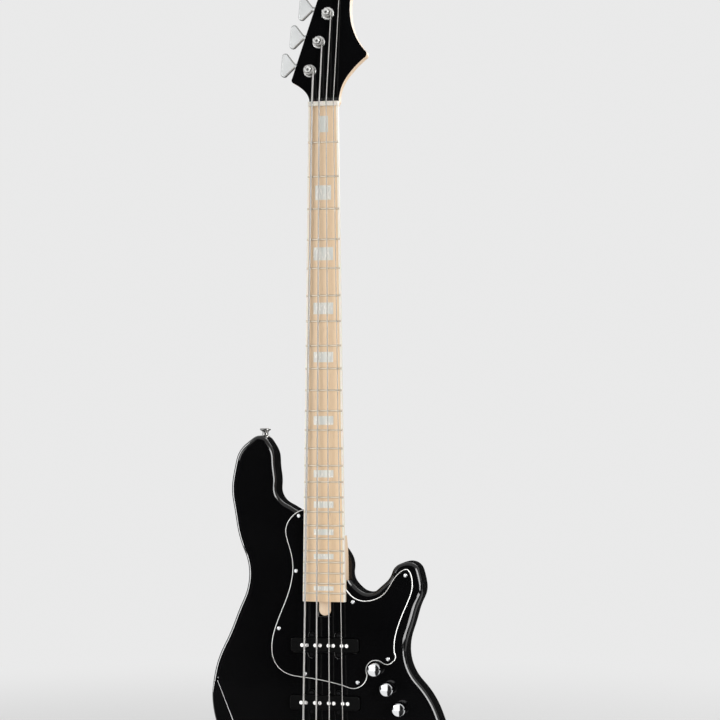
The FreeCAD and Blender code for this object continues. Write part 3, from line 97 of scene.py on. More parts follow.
# Room: the floor takes shadows out to the first radius and has faded into the background at the second
PAPER = (0.82, 0.82, 0.82, 1.0)
FLOOR_RADIUS = 14.0
FLOOR_SIDES = 96
FLOOR_SHADOW_RADIUS = 1.1
FLOOR_FADE_RADIUS = 2.2
ROOM_LIGHT = 0.66
SEEN_BY = ("Is Camera Ray", "Is Glossy Ray", "Is Transmission Ray")

# Lamps: name, place, the point that it faces, width and height, and watts
AIM = (0.0, 0.0, -0.45)
LAMPS = [
    ("key_softbox", (-2.3, -2.6, -0.4), AIM, (2.6, 2.6), 66.0),
    ("fill_softbox", (2.3, -1.1, 0.3), AIM, (0.8, 2.0), 46.0),
    ("back_softbox", (0.8, 2.6, 1.0), AIM, (1.4, 1.4), 14.0),
]
LACQUER_LAMPS = [
    ("left_strip", (-1.25, 0.05, -0.5), AIM, (0.35, 2.0), 33.0),
    ("right_strip", (1.4, -1.15, -0.5), AIM, (0.5, 2.0), 45.0),
    ("right_floor_strip", (0.62, -0.68, -0.975), (0.62, -0.68, 0.0), (0.30, 0.8), 9.0),
    ("arm_floor_strip", (-0.45, -0.55, -0.975), (-0.413, -0.4945, 0.0), (0.14, 0.75), 9.0),
]
METAL_LAMPS = [
    ("metal_softbox", (-0.53, -1.0, -0.35), (-0.53, 0.0, -0.35), (1.44, 2.0), 14.0),
    ("metal_floor_softbox", (-0.59, -0.53, -0.97), (-0.59, -0.53, 0.0), (1.36, 0.94), 4.6),
    ("metal_side_softbox", (1.5, -0.9, -0.35), (0.1, 0.0, -0.35), (1.0, 2.0), 3.0),
]

# Black cards: the standing ones run from one place to another, up to a height, and the others lie flat
CARDS = [
    ("front_card", (-1.3, -1.45), (1.2, -1.45), 1.4),
    ("left_card", (-1.3, -1.45), (-1.3, -0.2), -0.3),
    ("right_card", (2.2, -0.8), (2.2, 0.5), -0.3),
    ("back_card", (-2.6, 0.9), (2.2, 0.9), -0.05),
]
FLOOR_CARDS = [
    ("front_floor_card", (-0.25, -1.45), (0.4, -0.06)),
    ("left_floor_card", (-1.6, -1.45), (-0.25, -0.08)),
    ("right_floor_card", (0.4, -1.45), (1.6, 0.0)),
]
CARD_BLACK = (0.004, 0.004, 0.004, 1)
CARD_CLEAR = 1.0 * MM

# Colours: most finishes drift between two shades
LACQUER_BLACK = [(0.0006, 0.0006, 0.0007, 1), (0.0018, 0.0018, 0.0020, 1)]
PLY_BLACK = (0.006, 0.006, 0.007, 1)
PLY_WHITE = [(0.66, 0.66, 0.64, 1), (0.56, 0.56, 0.54, 1)]
NECK_MAPLE = [(0.83, 0.66, 0.49, 1), (0.75, 0.55, 0.37, 1)]
BOARD_MAPLE = [(0.79, 0.60, 0.41, 1), (0.73, 0.52, 0.32, 1)]
BINDING_CREAM = [(0.86, 0.82, 0.74, 1), (0.78, 0.72, 0.62, 1)]
NUT_BONE = [(0.68, 0.65, 0.59, 1), (0.58, 0.54, 0.46, 1)]
PEARL_COOL = [(0.69, 0.73, 0.68, 1), (0.79, 0.77, 0.72, 1)]
PEARL_WARM = (0.90, 0.87, 0.80, 1)
STRING_NICKEL = [(0.46, 0.45, 0.435, 1), (0.38, 0.37, 0.355, 1)]
COIL_COPPER = [(0.32, 0.12, 0.05, 1), (0.20, 0.06, 0.03, 1)]
PICKUP_BLACK = (0.0022, 0.0023, 0.0023, 1)
COVER_BLACK = (0.012, 0.012, 0.013, 1)

# Lacquer, plastic and bone bend light alike
COAT_IOR = 1.5

# How far pores and smudges darken a colour, and how far rubbing lightens it
PORE_DARK = 0.72
SMUDGE_DARK = 0.86
RUB_LIGHT = 1.7
RUB_LIFT = 0.002

# Metals: colour, roughness, how closely brushed lines lie along X, Y and Z, and how deep they are
METALS = {
    "polished_chrome": ((0.70, 0.71, 0.72, 1), 0.07, None, 0.0),
    "bridge_nickel": ((0.47, 0.475, 0.48, 1), 0.13, (40.0, 900.0, 900.0), 0.004 * MM),
    "bright_nickel": ((0.46, 0.46, 0.45, 1), 0.16, None, 0.0),
    "button_nickel": ((0.50, 0.50, 0.49, 1), 0.20, None, 0.0),
    "fret_nickel": ((0.66, 0.58, 0.47, 1), 0.34, (30.0, 900.0, 900.0), 0.01 * MM),
    "satin_chrome": ((0.50, 0.51, 0.51, 1), 0.30, (900.0, 60.0, 900.0), 0.006 * MM),
    "turned_steel": ((0.56, 0.55, 0.54, 1), 0.26, (1500.0, 1500.0, 200.0), 0.01 * MM),
    "black_steel": ((0.035, 0.035, 0.037, 1), 0.34, (900.0, 900.0, 900.0), 0.01 * MM),
    "pole_steel": ((0.80, 0.79, 0.77, 1), 0.18, (1200.0, 1200.0, 1200.0), 0.008 * MM),
    "gear_brass": ((0.70, 0.52, 0.24, 1), 0.30, (800.0, 800.0, 800.0), 0.01 * MM),
    "pot_plating": ((0.60, 0.59, 0.56, 1), 0.34, (500.0, 500.0, 500.0), 0.01 * MM),
}

# Metals that the metal lamps light
LAMP_LIT_METALS = ("polished_chrome", "bridge_nickel", "bright_nickel", "fret_nickel", "turned_steel",
                   "pole_steel")

# Nodes that show their own mesh in one metal
METAL_NODES = {
    "polished_chrome": ("knob_1", "knob_2", "knob_3", "neck_ferrules", "pot_nuts"),
    "bright_nickel": ("tuner_bushings", "output_jack"),
    "button_nickel": ("strap_buttons",),
    "fret_nickel": ("frets",),
    "turned_steel": ("intonation_screw_1", "intonation_screw_2", "intonation_screw_3", "intonation_screw_4",
                     "truss_rod", "truss_rod_nut", "neck_bolts"),
    "pole_steel": ("pickup_poles_neck", "pickup_poles_bridge"),
    "pot_plating": ("pots",),
}

# Black lacquer: its shine, and its roughness before haze, with what polishing marks add
LACQUER_SHINE = 0.45
LACQUER_POLISH = 0.045
MARK_ROUGH = 0.02

# Guard's cut edge: the faces whose normals lie less than this along Y, and the depths of the white layer
GUARD_EDGE_TILT = 0.9
GUARD_PLY_TOP = 1.65 * MM
GUARD_PLY_FOOT = 2.55 * MM

# Strings, from the lowest to the highest
STRING_NAMES = ("string_e", "string_a", "string_d", "string_g")
NUMBERS = range(1, len(STRING_NAMES) + 1)
STRING_RADII = (1.35 * MM, 1.05 * MM, 0.80 * MM, 0.58 * MM)
WRAP_PITCH = (0.55 * MM, 0.46 * MM, 0.38 * MM, 0.32 * MM)
WRAP_DEPTH = 0.06 * MM
NUT_SPACING = 9.7 * MM
BRIDGE_SPACING = 18.2 * MM
SCALE_LENGTH = 863.6 * MM
BOARD_START = -6.0 * MM
BOARD_RADIUS = 350.0 * MM
NUT_STRING_BED = -7.45 * MM
BRIDGE_RISE = 4.1 * MM
SADDLE_LENGTH = 12.0 * MM
TAIL_HOLE_Y = -8.8 * MM
TAIL_WALL_Z = -920.0 * MM
TAIL_WALL_HALF = 2.0 * MM
SADDLE_BEND = 30.0 * MM
NUT_BEND = 12.0 * MM
BEND_STEPS = 8
STRING_SIDES = 14

# Winding of a string round its post
POST_WAIST = 4.0 * MM
WIND_SEAT_GAP = 0.2 * MM
WIND_GAP = 0.6 * MM
WIND_TURNS = 2
WIND_LOW = 0.6 * MM
WIND_STEPS = 32

# A string's ball: its profile is radius and place along the axis, as shares of its radius and length
BALL_RADIUS = 2.9 * MM
BALL_LENGTH = 5.0 * MM
BALL_GAP = 0.1 * MM
BALL_PROFILE = [(0.30, -0.50), (0.88, -0.50), (1.00, -0.42), (1.00, -0.28), (0.78, -0.16),
                (0.78, 0.16), (1.00, 0.28), (1.00, 0.42), (0.88, 0.50), (0.30, 0.50)]

# Neck behind the nut: its width and depth there and further down, and the scoop under the headstock
NECK_WIDTHS = (40.6 * MM, 57.6 * MM)
BOARD_LENGTH = 659.0 * MM
NECK_DEPTHS = (14.5 * MM, 17.0 * MM)
SHAFT_TOP = 10.0 * MM
SHAFT_LENGTH = 632.0 * MM
SCOOP_START = 0.3 * MM
SCOOP_LENGTH = 30.0 * MM
SCOOP_STEPS = 20
SCOOP_SPAN = 14
SCOOP_PROUD = 0.02 * MM
SCOOP_SUNK = 0.12 * MM

# Edges of welded pieces: how far they are eased, and the angles that count as flat and as sharp
WELD = 0.004 * MM
FLAT = math.radians(0.4)
SHARP = math.radians(28)
EASE = 0.25 * MM
COVER_EASE = 0.3 * MM
BRIDGE_EASE = 0.4 * MM
EASE_STEPS = 2

# Sides of screw heads, their seats and the strings' balls
ROUND_STEPS = 24

# A screw's head of radius 1: radius and height of its rings, and its cross recess
HEAD_PROFILE = [(0.0, -0.05), (1.0, -0.05), (1.0, 0.10), (0.93, 0.24), (0.78, 0.36), (0.62, 0.42)]
HEAD_WELD = 1e-5
HEAD_SHARP = math.radians(40)
CROSS_ARM = 0.50
CROSS_HALF = 0.12
CROSS_TOP = 0.44
CROSS_FLOOR = 0.10

# Ways that a screw can face
FRONT = (math.pi / 2, 0.0, 0.0)
BACK = (-math.pi / 2, 0.0, 0.0)
UP = (0.0, 0.0, 0.0)
DOWN = (math.pi, 0.0, 0.0)

# Screws: a head's radius, its height against a full dome, the way it faces, its metal and its slot
SCREWS = {
    "guard_screws": (2.7 * MM, 1.0, FRONT, "polished_chrome", "screw_chrome"),
    "bridge_screws": (3.0 * MM, 1.0, FRONT, "polished_chrome", "screw_chrome"),
    "pickup_screws_neck": (2.2 * MM, 1.0, FRONT, "black_steel", "screw_steel"),
    "pickup_screws_bridge": (2.2 * MM, 1.0, FRONT, "black_steel", "screw_steel"),
    "cover_screws": (2.6 * MM, 0.32, BACK, "black_steel", "screw_steel"),
    "bolt_slots": (4.3 * MM, 0.16, BACK, "turned_steel", "screw_steel"),
    "tuner_screws": (2.1 * MM, 1.0, BACK, "polished_chrome", "screw_chrome"),
    "strap_screw_horn": (3.4 * MM, 1.0, UP, "polished_chrome", "screw_chrome"),
    "strap_screw_tail": (3.4 * MM, 1.0, DOWN, "polished_chrome", "screw_chrome"),
}
SCREW_BODIES = {"pickup_screws_neck": "pickup_neck", "pickup_screws_bridge": "pickup_bridge"}

# Screw places, X and Z in millimetres
GUARD_SCREWS = [(-35.8, -552.0), (-39.6, -625.3), (-63.2, -702.0), (-27.1, -761.5),
                (44.3, -771.2), (85.3, -739.5), (108.9, -629.0), (37.9, -665.2)]
BRIDGE_SCREWS = [(-36.4, -888.0), (36.4, -888.0), (-18.2, -904.0), (0.0, -904.0), (18.2, -904.0)]
NECK_BOLTS = [(-20.0, -612.0), (20.0, -622.0), (-20.0, -652.0), (20.0, -652.0)]
PICKUP_EAR_X = 18.2
PICKUP_EAR_Z = 12.25
COVER_ENDS = [Vector((68.6, -752.7)), Vector((116.0, -826.0))]
COVER_SCREW_REACH = 20.0

# Levels and depths that the screws sit at
PICKUP_EAR_TOP = 1.6 * MM
BRIDGE_FLOOR = 0.5 * MM
PLATE_BACK = 19.6 * MM
BOLT_SUNK = 0.35 * MM
STRAP_SUNK = 1.7 * MM
STRAP_HEAD_RADIUS = 7.2 * MM
COVER_SCREW_SUNK = 0.5 * MM
COVER_SEAT_RADIUS = 3.1 * MM
COVER_SEAT_DEPTH = 1.2 * MM
COVER_SEAT_PAST = 0.2 * MM
TUNER_SCREW_REACH = 13.5 * MM

# Tuners: where the worm wheel's teeth and the key's button begin
WHEEL_REACH = 4.3 * MM
WHEEL_HALF = 2.4 * MM
KEY_SHAFT_REACH = 23.0 * MM


def between(first, last, share):
    return first + (last - first) * share


def joint_place(name):
    return Vector(joints[name]["pos_m"])


class Value:
    """A socket of a finish. Arithmetic on it adds Math nodes."""

    def __init__(self, finish, socket):
        self.finish = finish
        self.socket = socket

    def math(self, operation, first, second):
        return self.finish.node("ShaderNodeMath", {"operation": operation}, {0: first, 1: second})

    def __add__(self, other):
        return self.math("ADD", self, other)

    def __radd__(self, other):
        return self.math("ADD", other, self)

    def __sub__(self, other):
        return self.math("SUBTRACT", self, other)

    def __rsub__(self, other):
        return self.math("SUBTRACT", other, self)

    def __mul__(self, other):
        return self.math("MULTIPLY", self, other)

    def __rmul__(self, other):
        return self.math("MULTIPLY", other, self)


class Finish:
    """A material: one Principled shader, with its patterns on Object coordinates."""

    def __init__(self, name, **constants):
        self.material = bpy.data.materials.new(name)
        self.material.use_nodes = True
        self.tree = self.material.node_tree
        self.shader = self.tree.nodes["Principled BSDF"]
        self.place = self.node("ShaderNodeTexCoord", out="Object")
        for socket, value in constants.items():
            self.put(socket.replace("_", " "), value)

    def node(self, kind, settings=None, sockets=None, out=0):
        """A new node of that kind, its settings made first, as the value of one of its outputs."""
        made = self.tree.nodes.new(kind)
        for setting, value in (settings or {}).items():
            if setting == "stops":
                self.set_stops(made.color_ramp, value)
            else:
                setattr(made, setting, value)
        for socket, value in (sockets or {}).items():
            self.feed(made.inputs[socket], value)
        return Value(self, made.outputs[out])

    def set_stops(self, ramp, stops):
        while len(ramp.elements) < len(stops):
            ramp.elements.new(1.0)
        for element, (place, shade) in zip(ramp.elements, stops):
            element.position = place
            element.color = (shade, shade, shade, 1.0)

    def feed(self, socket, value):
        """Links a value to a socket, or sets a plain number or colour on it."""
        if isinstance(value, Value):
            self.tree.links.new(value.socket, socket)
        else:
            socket.default_value = value

    def put(self, socket, value):
        self.feed(self.shader.inputs[socket], value)

    def noise(self, stretch, detail):
        """Noise whose cells repeat about stretch times in a metre along X, Y and Z."""
        spot = self.node("ShaderNodeMapping", {}, {"Vector": self.place, "Scale": stretch})
        return self.node("ShaderNodeTexNoise", {}, {"Vector": spot, "Scale": 1.0, "Detail": detail})

    def steps(self, value, *stops):
        return self.node("ShaderNodeValToRGB", {"stops": stops}, {"Fac": value})

    def sine(self, value):
        return self.node("ShaderNodeMath", {"operation": "SINE"}, {0: value})

    def mix(self, share, first, second):
        """A colour between two others."""
        mixed = {"Factor": share, 6: first, 7: second}
        return self.node("ShaderNodeMix", {"data_type": "RGBA"}, mixed, out=2)

    def bump(self, height, depth, strength):
        sockets = {"Height": height, "Distance": depth, "Strength": strength}
        self.put("Normal", self.node("ShaderNodeBump", {}, sockets))


def evenly(scale):
    return (scale, scale, scale)


def along_neck(across, along):
    return (across, across, along)


def toned(colour, factor, lift=0.0):
    """A colour made darker or lighter by a factor, and lifted alike in each channel."""
    return tuple(channel * factor + lift for channel in colour[:3]) + (1.0,)


# Finishes
def black_lacquer(name, haze_rough, peel):
    """Polished black lacquer, with the faint ripple of a sprayed coat and patches of polishing haze."""
    finish = Finish(name, IOR=COAT_IOR, Specular_IOR_Level=LACQUER_SHINE)
    haze = finish.noise(evenly(9.0), detail=3.0)
    marks = finish.noise((700.0, 90.0, 160.0), detail=1.0)
    finish.put("Base Color", finish.mix(haze, *LACQUER_BLACK))
    finish.put("Roughness", LACQUER_POLISH + haze * haze_rough + marks * MARK_ROUGH)
    finish.bump(finish.noise(evenly(230.0), detail=1.0), depth=peel, strength=0.25)
    lacquers.append(finish.material)
    return finish.material


def guard_plies():
    """The guard's cut edge: a white layer between two black ones, buffed."""
    finish = Finish("guard_plies", IOR=COAT_IOR, Specular_IOR_Level=0.3)
    depth = finish.node("ShaderNodeSeparateXYZ", {}, {"Vector": finish.place}, out="Y")
    below_top = depth.math("GREATER_THAN", depth, GUARD_PLY_TOP)
    above_foot = depth.math("LESS_THAN", depth, GUARD_PLY_FOOT)
    buffing = finish.noise(evenly(500.0), detail=2.0)
    white = finish.mix(buffing, *PLY_WHITE)
    finish.put("Base Color", finish.mix(below_top * above_foot, PLY_BLACK, white))
    finish.put("Roughness", 0.28 + buffing * 0.14)
    return finish.material


def maple(name, pale, warm, gloss):
    """Straight-grained maple under thin lacquer: broad bands, fine grain and short pores."""
    finish = Finish(name, IOR=COAT_IOR, Specular_IOR_Level=0.4)
    bands = finish.noise(along_neck(38.0, 1.1), detail=3.0)
    grain = finish.noise(along_neck(330.0, 4.2), detail=4.0)
    pores = finish.steps(finish.noise(along_neck(1500.0, 70.0), detail=1.0), (0.62, 0.0), (0.74, 1.0))
    tone = finish.steps(bands * 0.6 + grain * 0.4, (0.36, 0.0), (0.64, 1.0))
    wood = finish.mix(tone, warm, pale)
    finish.put("Base Color", finish.mix(pores * 0.45, wood, toned(warm, PORE_DARK)))
    finish.put("Roughness", gloss + grain * 0.16)
    finish.bump(grain * 0.7 - pores * 0.5, depth=0.05 * MM, strength=0.35)
    return finish.material


def ivory(name, pale, aged):
    """Cream plastic or bone: cloudy, with hair-fine lines along the neck."""
    finish = Finish(name, IOR=COAT_IOR, Subsurface_Weight=0.12, Subsurface_Scale=0.002)
    cloud = finish.noise(evenly(120.0), detail=3.0)
    lines = finish.noise(along_neck(1800.0, 30.0), detail=2.0)
    finish.put("Base Color", finish.mix(cloud * 0.7 + lines * 0.3, pale, aged))
    finish.put("Roughness", 0.26 + lines * 0.14)
    finish.bump(lines, depth=0.02 * MM, strength=0.3)
    return finish.material


def pearl():
    """Mother of pearl: folded layers of silver, green and rose, under a polished face."""
    finish = Finish("inlay_pearl", IOR=1.55, Coat_Roughness=0.04)
    drift = finish.noise((70.0, 70.0, 26.0), detail=2.0)
    folds = finish.noise((190.0, 190.0, 40.0), detail=2.0)
    layers = 0.5 + finish.sine(folds * 22.0 + drift * 14.0) * 0.5
    cool = finish.mix(drift, *PEARL_COOL)
    finish.put("Base Color", finish.mix(layers, cool, PEARL_WARM))
    finish.put("Roughness", 0.16 + layers * 0.12)
    finish.put("Metallic", 0.04 + layers * 0.10)
    finish.put("Coat Weight", 0.4 + drift * 0.4)
    return finish.material


def metal(name):
    """Plated or bare metal: a smudged polish, and lines where it is brushed."""
    colour, polish, brush, depth = METALS[name]
    finish = Finish(name, Metallic=1.0)
    smudge = finish.noise(evenly(60.0), detail=3.0)
    finish.put("Base Color", finish.mix(smudge, colour, toned(colour, SMUDGE_DARK)))
    if brush is None:
        lines = finish.noise(evenly(900.0), detail=1.0)
    else:
        lines = finish.noise(brush, detail=2.0)
    finish.put("Roughness", polish + smudge * polish * 0.5 + lines * polish * 0.4)
    finish.bump(lines, depth, strength=0.3)
    if name in LAMP_LIT_METALS:
        metals.append(finish.material)
    return finish.material


def wound_wire(number):
    """Nickel wrap wire round the string's core, tarnished a little in patches."""
    finish = Finish(f"wound_string_{number + 1}", Metallic=1.0)
    along = finish.node("ShaderNodeAttribute", {"attribute_name": "along"}, out="Fac")
    wraps = finish.sine(along * (math.tau / WRAP_PITCH[number]))
    tarnish = finish.noise(along_neck(300.0, 40.0), detail=3.0)
    finish.put("Base Color", finish.mix(tarnish, *STRING_NICKEL))
    finish.put("Roughness", 0.30 + tarnish * 0.16)
    finish.bump(wraps, WRAP_DEPTH, strength=0.6)
    metals.append(finish.material)
    return finish.material


def moulded(name, colour, rough, grain, depth):
    """Moulded plastic with a fine cast texture and a little rubbed shine."""
    finish = Finish(name, IOR=1.46, Specular_IOR_Level=0.12)
    rub = finish.noise(evenly(40.0), detail=3.0)
    cast = finish.noise(evenly(grain), detail=2.0)
    finish.put("Base Color", finish.mix(rub, colour, toned(colour, RUB_LIGHT, RUB_LIFT)))
    finish.put("Roughness", rough - rub * 0.12 + cast * 0.08)
    finish.bump(cast, depth, strength=0.4)
    return finish.material


def coil_wire():
    """Fine lacquered copper wire, wound level on level."""
    finish = Finish("coil_wire", Metallic=0.8)
    levels = {"Vector": finish.place, "Scale": 900.0}
    turns = finish.node("ShaderNodeTexWave", {"bands_direction": "Y"}, levels)
    worn = finish.noise(evenly(200.0), detail=2.0)
    finish.put("Base Color", finish.mix(worn, *COIL_COPPER))
    finish.put("Roughness", 0.35 + worn * 0.15)
    finish.bump(turns, depth=0.03 * MM, strength=0.5)
    return finish.material


def paper():
    """The studio's pale paper: it takes the shadow near the instrument, and fades out further off."""
    finish = Finish("studio_paper", Base_Color=PAPER, Roughness=0.9, Specular_IOR_Level=0.1)
    reach = finish.node("ShaderNodeVectorMath", {"operation": "LENGTH"}, {0: finish.place}, out="Value")
    limits = {"Value": reach, "From Min": FLOOR_SHADOW_RADIUS, "From Max": FLOOR_FADE_RADIUS,
              "To Min": 0.0, "To Max": 1.0}
    far = finish.node("ShaderNodeMapRange", {"interpolation_type": "SMOOTHSTEP"}, limits)
    seen = finish.node("ShaderNodeLightPath", out=SEEN_BY[0])
    for ray in SEEN_BY[1:]:
        seen = seen + finish.node("ShaderNodeLightPath", out=ray)
    glow = finish.node("ShaderNodeEmission", {}, {"Color": PAPER, "Strength": 1.0})
    plain = Value(finish, finish.shader.outputs[0])
    shown = finish.node("ShaderNodeMixShader", {}, {0: far * seen, 1: plain, 2: glow})
    finish.feed(finish.tree.nodes["Material Output"].inputs["Surface"], shown)
    return finish.material


# Meshes
def new_object(name, data):
    made = bpy.data.objects.new(name, data)
    bpy.context.scene.collection.objects.link(made)
    return made


def mesh_of(form, name):
    mesh = bpy.data.meshes.new(name)
    form.to_mesh(mesh)
    form.free()
    return mesh


def smooth_mesh(form, name, sharp=SHARP):
    """A form's mesh, smooth over its curves, with a crease wherever it bends by more than that."""
    mesh = mesh_of(form, name)
    mesh.shade_smooth()
    mesh.set_sharp_from_angle(angle=sharp)
    return mesh


def round_ring(form, radius, height, first=0.0):
    """Points of a circle about Z."""
    ring = []
    for step in range(ROUND_STEPS):
        turn = first + step * math.tau / ROUND_STEPS
        ring.append(form.verts.new((radius * math.cos(turn), radius * math.sin(turn), height)))
    return ring


def skin(form, rings):
    """Faces from each ring of points to the next."""
    for near, far in zip(rings, rings[1:]):
        for step in range(len(near)):
            ahead = (step + 1) % len(near)
            form.faces.new((near[step], near[ahead], far[ahead], far[step]))


def painted(node, material):
    """A node whose own mesh shows, in its finish."""
    mesh = nodes[node].data
    mesh.materials.clear()
    mesh.materials.append(material)


def two_finishes(node, first, second, takes_second):
    """A node in two finishes: its faces for which the test holds take the second."""
    painted(node, first)
    mesh = nodes[node].data
    mesh.materials.append(second)
    for face in mesh.polygons:
        face.material_index = int(takes_second(face))


def dressed(node, material, ease):
    """A welded copy of a node, smooth over its curves, with its sharp edges eased by that much."""
    form = bmesh.new()
    form.from_mesh(nodes[node].data)
    bmesh.ops.remove_doubles(form, verts=form.verts, dist=WELD)
    bmesh.ops.dissolve_limit(form, angle_limit=FLAT, verts=form.verts, edges=form.edges)
    edges = [edge for edge in form.edges if edge.calc_face_angle(0.0) > SHARP]
    bmesh.ops.bevel(form, geom=edges, offset=ease, offset_type="OFFSET", segments=EASE_STEPS,
                    profile=0.5, affect="EDGES", clamp_overlap=True)
    mesh = smooth_mesh(form, node)
    mesh.materials.append(material)
    piece = new_object(f"{node}_finished", mesh)
    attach(piece, nodes[node]["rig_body"])
    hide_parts(node)
    return piece


def sink_seats(piece, places):
    """Cuts a cone-shaped screw seat into a piece's back at each place."""
    form = bmesh.new()
    depth = COVER_SEAT_DEPTH + COVER_SEAT_PAST
    for place in places:
        middle = place + Vector((0.0, COVER_SEAT_PAST - depth / 2, 0.0))
        turn = Matrix.Translation(middle) @ Matrix.Rotation(BACK[0], 4, "X")
        bmesh.ops.create_cone(form, cap_ends=True, segments=ROUND_STEPS, depth=depth, matrix=turn,
                              radius1=COVER_SEAT_RADIUS - COVER_SEAT_DEPTH,
                              radius2=COVER_SEAT_RADIUS + COVER_SEAT_PAST)
    seats = new_object("screw_seats", mesh_of(form, "screw_seats"))
    cut = piece.modifiers.new("seats", "BOOLEAN")
    cut.operation = "DIFFERENCE"
    cut.solver = "EXACT"
    cut.object = seats
    shaped = piece.evaluated_get(bpy.context.evaluated_depsgraph_get())
    piece.data = bpy.data.meshes.new_from_object(shaped)
    piece.modifiers.remove(cut)
    bpy.data.objects.remove(seats)


def line_mesh(name, points):
    mesh = bpy.data.meshes.new(name)
    mesh.from_pydata(points, [(step, step + 1) for step in range(len(points) - 1)], [])
    return mesh


def point_mesh(name, points):
    mesh = bpy.data.meshes.new(name)
    mesh.from_pydata(points, [], [])
    return mesh


# Forms that repeat or follow a line
class Form:
    """A Geometry Nodes tree with named inputs, which ends in Realize Instances and Set Material."""

    def __init__(self, name, **inputs):
        self.group = bpy.data.node_groups.new(name, "GeometryNodeTree")
        sockets = self.group.interface
        sockets.new_socket("Geometry", in_out="INPUT", socket_type="NodeSocketGeometry")
        for label, (kind, value) in inputs.items():
            socket = sockets.new_socket(label.replace("_", " "), in_out="INPUT", socket_type=kind)
            if value is not None:
                socket.default_value = value
        sockets.new_socket("Material", in_out="INPUT", socket_type="NodeSocketMaterial")
        sockets.new_socket("Geometry", in_out="OUTPUT", socket_type="NodeSocketGeometry")
        self.given = self.group.nodes.new("NodeGroupInput").outputs

    def node(self, kind, settings, sockets, out=0):
        """A new node of that kind, its settings made first, as one of its outputs."""
        made = self.group.nodes.new(kind)
        for setting, value in settings.items():
            setattr(made, setting, value)
        for socket, value in sockets.items():
            if isinstance(value, bpy.types.NodeSocket):
                self.group.links.new(value, made.inputs[socket])
            else:
                made.inputs[socket].default_value = value
        return made.outputs[out]

    def end(self, shape):
        whole = self.node("GeometryNodeRealizeInstances", {}, {"Geometry": shape})
        sockets = {"Geometry": whole, "Material": self.given["Material"]}
        done = self.node("GeometryNodeSetMaterial", {}, sockets)
        result = self.group.nodes.new("NodeGroupOutput")
        self.group.links.new(done, result.inputs["Geometry"])

    def make(self, name, start, body, **values):
        """The tree's result on a starting mesh, as a plain mesh that rides on a body."""
        piece = new_object(name, start)
        modifier = piece.modifiers.new("form", "NODES")
        modifier.node_group = self.group
        for socket in self.group.interface.items_tree:
            label = socket.name.replace(" ", "_")
            if socket.in_out == "INPUT" and label in values:
                modifier[socket.identifier] = values[label]
        shaped = piece.evaluated_get(bpy.context.evaluated_depsgraph_get())
        mesh = bpy.data.meshes.new_from_object(shaped)
        piece.modifiers.remove(modifier)
        piece.data = mesh
        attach(piece, body)
        return piece


def string_form():
    """A round tube along a line, which keeps the length along it for the wrap wire's pattern."""
    form = Form("string_tube", Radius=("NodeSocketFloat", MM), Sides=("NodeSocketInt", STRING_SIDES))
    line = form.node("GeometryNodeMeshToCurve", {}, {"Mesh": form.given["Geometry"]})
    along = form.node("GeometryNodeSplineParameter", {}, {}, out="Length")
    stored = {"Geometry": line, "Name": "along", "Value": along}
    line = form.node("GeometryNodeStoreNamedAttribute", {"data_type": "FLOAT", "domain": "POINT"}, stored)
    circle = {"Resolution": form.given["Sides"], "Radius": form.given["Radius"]}
    ring = form.node("GeometryNodeCurvePrimitiveCircle", {}, circle)
    tube = form.node("GeometryNodeCurveToMesh", {}, {"Curve": line, "Profile Curve": ring, "Fill Caps": True})
    form.end(tube)
    return form


def screw_form(head):
    """Copies of a head on points, all facing one way, with their slots left at odd angles."""
    form = Form("screw_heads", Head_Radius=("NodeSocketFloat", MM), Dome=("NodeSocketFloat", 1.0),
                Facing=("NodeSocketVector", None), Seed=("NodeSocketInt", 0))
    shape = form.node("GeometryNodeObjectInfo", {}, {"Object": head}, out="Geometry")
    facing = form.node("FunctionNodeEulerToRotation", {}, {"Euler": form.given["Facing"]})
    wide = form.given["Head Radius"]
    tall = form.node("ShaderNodeMath", {"operation": "MULTIPLY"}, {0: wide, 1: form.given["Dome"]})
    size = form.node("ShaderNodeCombineXYZ", {}, {"X": wide, "Y": wide, "Z": tall})
    sockets = {"Points": form.given["Geometry"], "Instance": shape, "Rotation": facing, "Scale": size}
    heads = form.node("GeometryNodeInstanceOnPoints", {}, sockets)
    limits = {2: 0.0, 3: math.tau, "Seed": form.given["Seed"]}
    angle = form.node("FunctionNodeRandomValue", {"data_type": "FLOAT"}, limits, out=1)
    turn = form.node("FunctionNodeAxisAngleToRotation", {}, {"Axis": (0, 0, 1), "Angle": angle})
    turned = {"Instances": heads, "Rotation": turn, "Local Space": True}
    form.end(form.node("GeometryNodeRotateInstances", {}, turned))
    return form


def screw_head():
    """A domed head of radius 1 on Z = 0. The outline of its cross has as many points as a ring."""
    form = bmesh.new()
    bend = CROSS_ARM / 2 + CROSS_HALF
    quarter = [(CROSS_HALF, CROSS_HALF), (CROSS_HALF, bend), (CROSS_HALF, CROSS_ARM),
               (0.0, CROSS_ARM), (-CROSS_HALF, CROSS_ARM), (-CROSS_HALF, bend)]
    cross = []
    for quarters in range(4):
        turn = Matrix.Rotation(quarters * math.pi / 2, 2)
        cross.extend(turn @ Vector(corner) for corner in quarter)
    rings = [round_ring(form, radius, height, math.pi / 4) for radius, height in HEAD_PROFILE]
    for height in (CROSS_TOP, CROSS_FLOOR):
        rings.append([form.verts.new((x, y, height)) for x, y in cross])
    skin(form, rings)
    form.faces.new(rings[-1])
    bmesh.ops.remove_doubles(form, verts=form.verts, dist=HEAD_WELD)
    bmesh.ops.recalc_face_normals(form, faces=form.faces)
    return new_object("screw_head", smooth_mesh(form, "screw_head", HEAD_SHARP))


def string_ball():
    """A turned spool of radius 1 and length 1 along Z, with a hole through it."""
    form = bmesh.new()
    rings = [round_ring(form, radius, height) for radius, height in BALL_PROFILE]
    skin(form, rings + rings[:1])
    bmesh.ops.recalc_face_normals(form, faces=form.faces)
    return new_object("string_ball", smooth_mesh(form, "string_ball"))


